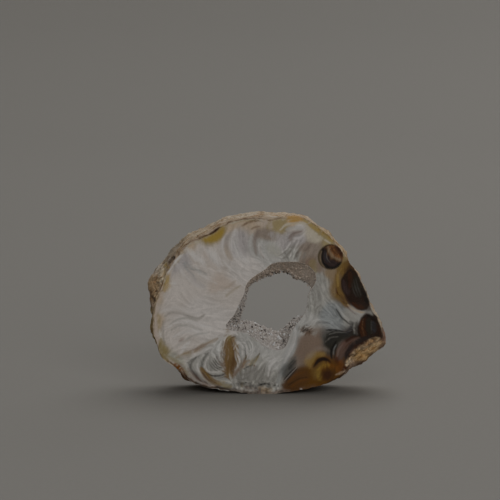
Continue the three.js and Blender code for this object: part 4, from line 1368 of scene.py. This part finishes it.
druse = {
    "middle": (1.0, 24.0),  # of the hollow
    "rowCuts": 4,
    "skin": 0.05,  # how thin the floor gets, and how far behind the wall it is closed
    "floorDepth": 1.15,  # at the throat; it thins out to both mouths
    "floorLevel": 0.85,  # of that depth, round which the grain rises and falls
    "floorGrain": 0.35,
    "grainScale": 1.4,
    "throatShare": 0.62,
    "backMouth": 0.45,  # the floor's depth at the back mouth, as a share of the throat's
    "bareSide": (-38, 42),  # directions, in degrees, where the agate meets the opening with hardly any crust
    "bareFade": 14,
    "bareShare": 0.15,
    "bareFrom": 0.3,
    "bareLoss": 0.75,  # share of the points left out there
    "mouthMargin": 0.35,  # no points this near to a mouth
    "upperHeight": 27,  # above this the druse is smoother in front of the throat, and has painted glints along it
    "smoothLoss": 0.65,
    "sizes": (0.75, 0.85, 0.95, 1.05, 1.15, 1.6),
    "crystalRadius": (0.12, 0.28),
    "crystalHeight": (0.25, 0.65),
    "prismShare": 0.55,
    "sunk": 0.1,
    "shift": 0.2,
    "lean": 0.28,
    "lowerColour": (0.76, 0.705, 0.665),
    "upperColour": (0.84, 0.73, 0.635),
    "browning": (24, 31),  # heights between which the one turns into the other
    "greys": (0.3, 0.8, 0.85, 0.9, 0.92, 0.95, 1, 1, 1.05, 1.5),
    "floorGrey": 0.85,
    "upperGrey": 0.93,
    "upperEvenness": 0.8,  # how far the upper tones are drawn to that one
    "brightest": 0.95,
    "glints": (0.15, 0.8, 0.9, 1, 1.9),
    "glintBand": (-0.4, 3.0),  # from y to y: the row of crystals along the upper throat that are painted bright and dark as glints
    "seed": 5,
}


def wallRings():
    bm = ringsOf("agate_slice")
    outer, _ = outerAndInner(splitRings(bm))
    bmesh.ops.delete(bm, geom=[vert for ring in outer for vert in ring], context="VERTS")
    bmesh.ops.subdivide_edges(bm, edges=bm.edges[:], cuts=1)
    rings = splitRings(bm)
    across = []
    for a, b in zip(rings, rings[1:]):
        across += bmesh.ops.bridge_loops(bm, edges=ringEdges(a, b))["edges"]
    bmesh.ops.subdivide_edges(bm, edges=across, cuts=druse["rowCuts"], use_grid_fill=True)
    bmesh.ops.recalc_face_normals(bm, faces=bm.faces)
    bm.normal_update()
    # The normals look into the hollow
    highest = max(bm.faces, key=lambda face: face.calc_center_median().z)
    if highest.normal.z > 0:
        bmesh.ops.reverse_faces(bm, faces=bm.faces)
        bm.normal_update()
    return bm


def crustDepth(place):
    # How thick the druse is at a place, and how bare its side is, both from 0 to 1
    x, y, z = place / mm
    share = throughShare(y)
    throat = druse["throatShare"]
    if share < throat:
        swell = min(1, share / throat)
    else:
        swell = 1 - (1 - druse["backMouth"]) * (share - throat) / (1 - throat)
    angle = math.degrees(math.atan2(z - druse["middle"][1], x - druse["middle"][0]))
    low, high = druse["bareSide"]
    bare = min(1, max(0, min(angle - low, high - angle) / druse["bareFade"]))
    return swell * (1 - bare * (1 - druse["bareShare"])), bare


def quartzPoint():
    # One six-sided crystal of unit size: a short prism under a pyramid. Its faces are listed one by
    # one, because the extrude operators make them in another order each run.
    sides = 6
    turns = [math.tau * i / sides for i in range(sides)]
    corners = [(-math.sin(t), math.cos(t), h) for h in (0, druse["prismShare"]) for t in turns]
    tip = len(corners)
    faces = [tuple(reversed(range(sides)))]
    for i in range(sides):
        j = (i + 1) % sides
        faces += [(i, j, sides + j, sides + i), (sides + i, sides + j, tip)]
    mesh = bpy.data.meshes.new("quartz_point")
    mesh.from_pydata(corners + [(0, 0, 1)], [], faces)
    return mesh


def druseFloor():
    # The floor's two skins, and the seats of its points
    body = wallRings()
    copied = bmesh.ops.duplicate(body, geom=body.verts[:] + body.edges[:] + body.faces[:])["geom"]
    rear = {part for part in copied if isinstance(part, bmesh.types.BMVert)}
    inner = [face for face in body.faces if face.verts[0] not in rear]
    for vert in body.verts:
        if vert in rear:
            vert.co -= vert.normal * (druse["skin"] * mm)
        else:
            swell, _ = crustDepth(vert.co)
            grain = druse["floorGrain"] * noise.noise(vert.co / mm * druse["grainScale"])
            depth = max(druse["skin"], druse["floorDepth"] * swell * (druse["floorLevel"] + grain))
            vert.co += vert.normal * (depth * mm)
    body.normal_update()
    seats = [(face.calc_center_median(), face.normal.copy()) for face in inner]
    bmesh.ops.reverse_faces(body, faces=[face for face in body.faces if face.verts[0] in rear])
    rims = [edge for edge in body.edges if edge.is_boundary]
    for side in (-1, 1):
        mouth = [edge for edge in rims if edge.verts[0].co.y * side > 0]
        bmesh.ops.bridge_loops(body, edges=mouth)
    return body, seats


def buildDruse():
    random = np.random.default_rng(druse["seed"])
    body, seats = druseFloor()
    floorCount = len(body.verts)
    point = quartzPoint()
    for centre, normal in seats:
        swell, bare = crustDepth(centre)
        _, y, z = centre / mm
        size = random.choice(druse["sizes"]) * (0.5 + 0.5 * min(1, swell * 1.6))
        lean = Vector(random.normal(0, druse["lean"], 3))
        shift = Vector(random.uniform(-druse["shift"], druse["shift"], 3)) * mm
        radius = random.uniform(*druse["crystalRadius"]) * mm * size
        height = random.uniform(*druse["crystalHeight"]) * mm * size
        turn = random.uniform(0, 1)
        chance = random.random()
        atMouth = min(y - stone["front"], stone["back"] - y) < druse["mouthMargin"]
        lostBare = bare > druse["bareFrom"] and chance < druse["bareLoss"]
        inSmooth = z > druse["upperHeight"] and y < druse["glintBand"][0]
        if atMouth or lostBare or (inSmooth and chance < druse["smoothLoss"]):
            continue
        seat = Matrix.Translation(centre + shift - normal * (druse["sunk"] * mm))
        aim = (normal + lean).normalized().to_track_quat("Z", "Y").to_matrix().to_4x4()
        form = Matrix.Rotation(turn, 4, "Z") @ Matrix.Diagonal((radius, radius, height, 1))
        piece = point.copy()
        piece.transform(seat @ aim @ form)
        body.from_mesh(piece)
        bpy.data.meshes.remove(piece)
    for vert in body.verts:
        vert.co.y = max(stone["front"] * mm, min(stone["back"] * mm, vert.co.y))
    print("druse faces", len(body.faces))
    return meshOf(body, "quartz_druse"), floorCount, len(point.vertices)


def tintDruse(mesh, floorCount, pointCount):
    # Each crystal has a tone of its own; the upper druse is browner and more even
    random = np.random.default_rng(druse["seed"] + 1)
    _, y, z = placesOf(mesh)
    crystals = (len(z) - floorCount) // pointCount
    high = softStep(z, *druse["browning"])
    tone = np.full(len(z), float(druse["floorGrey"]))
    tone[floorCount:] = np.repeat(random.choice(druse["greys"], crystals), pointCount)
    tone += (druse["upperGrey"] - tone) * druse["upperEvenness"] * high
    # Painted glints: along the upper throat some crystals are tinted near white and some dark, to stand in
    # for sparkling facets
    glint = np.repeat(random.choice(druse["glints"], crystals), pointCount)
    start, end = druse["glintBand"]
    inBand = (y > start) & (y < end) & (z > druse["upperHeight"])
    tone[floorCount:] = np.where(inBand[floorCount:], glint, tone[floorCount:])
    high = high[:, None]
    colour = np.array(druse["lowerColour"]) * (1 - high) + np.array(druse["upperColour"]) * high
    addColour(mesh, "tint", np.clip(colour * tone[:, None], 0, druse["brightest"]))


def druseQuartz():
    material, add, dress = nodeMaterial("druse_quartz")
    place = add("ShaderNodeTexCoord").outputs["Object"]
    colour = add("ShaderNodeAttribute", {"attribute_name": "tint"}).outputs["Color"]
    veil = spread(add, grains(add, place, 2400, 3), 0.88, 1.1)
    dress({
        "Base Color": multiplied(add, colour, veil),
        "Roughness": 0.06,
        "IOR": 1.544,
        "Transmission Weight": 0.1,
    })
    return material


druseMesh, floorCount, pointCount = buildDruse()
tintDruse(druseMesh, floorCount, pointCount)
druseMesh.materials.append(druseQuartz())
drusePiece = addObject("quartz_druse", druseMesh)
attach(drusePiece, "root")
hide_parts("quartz_crust")
print("druse built")
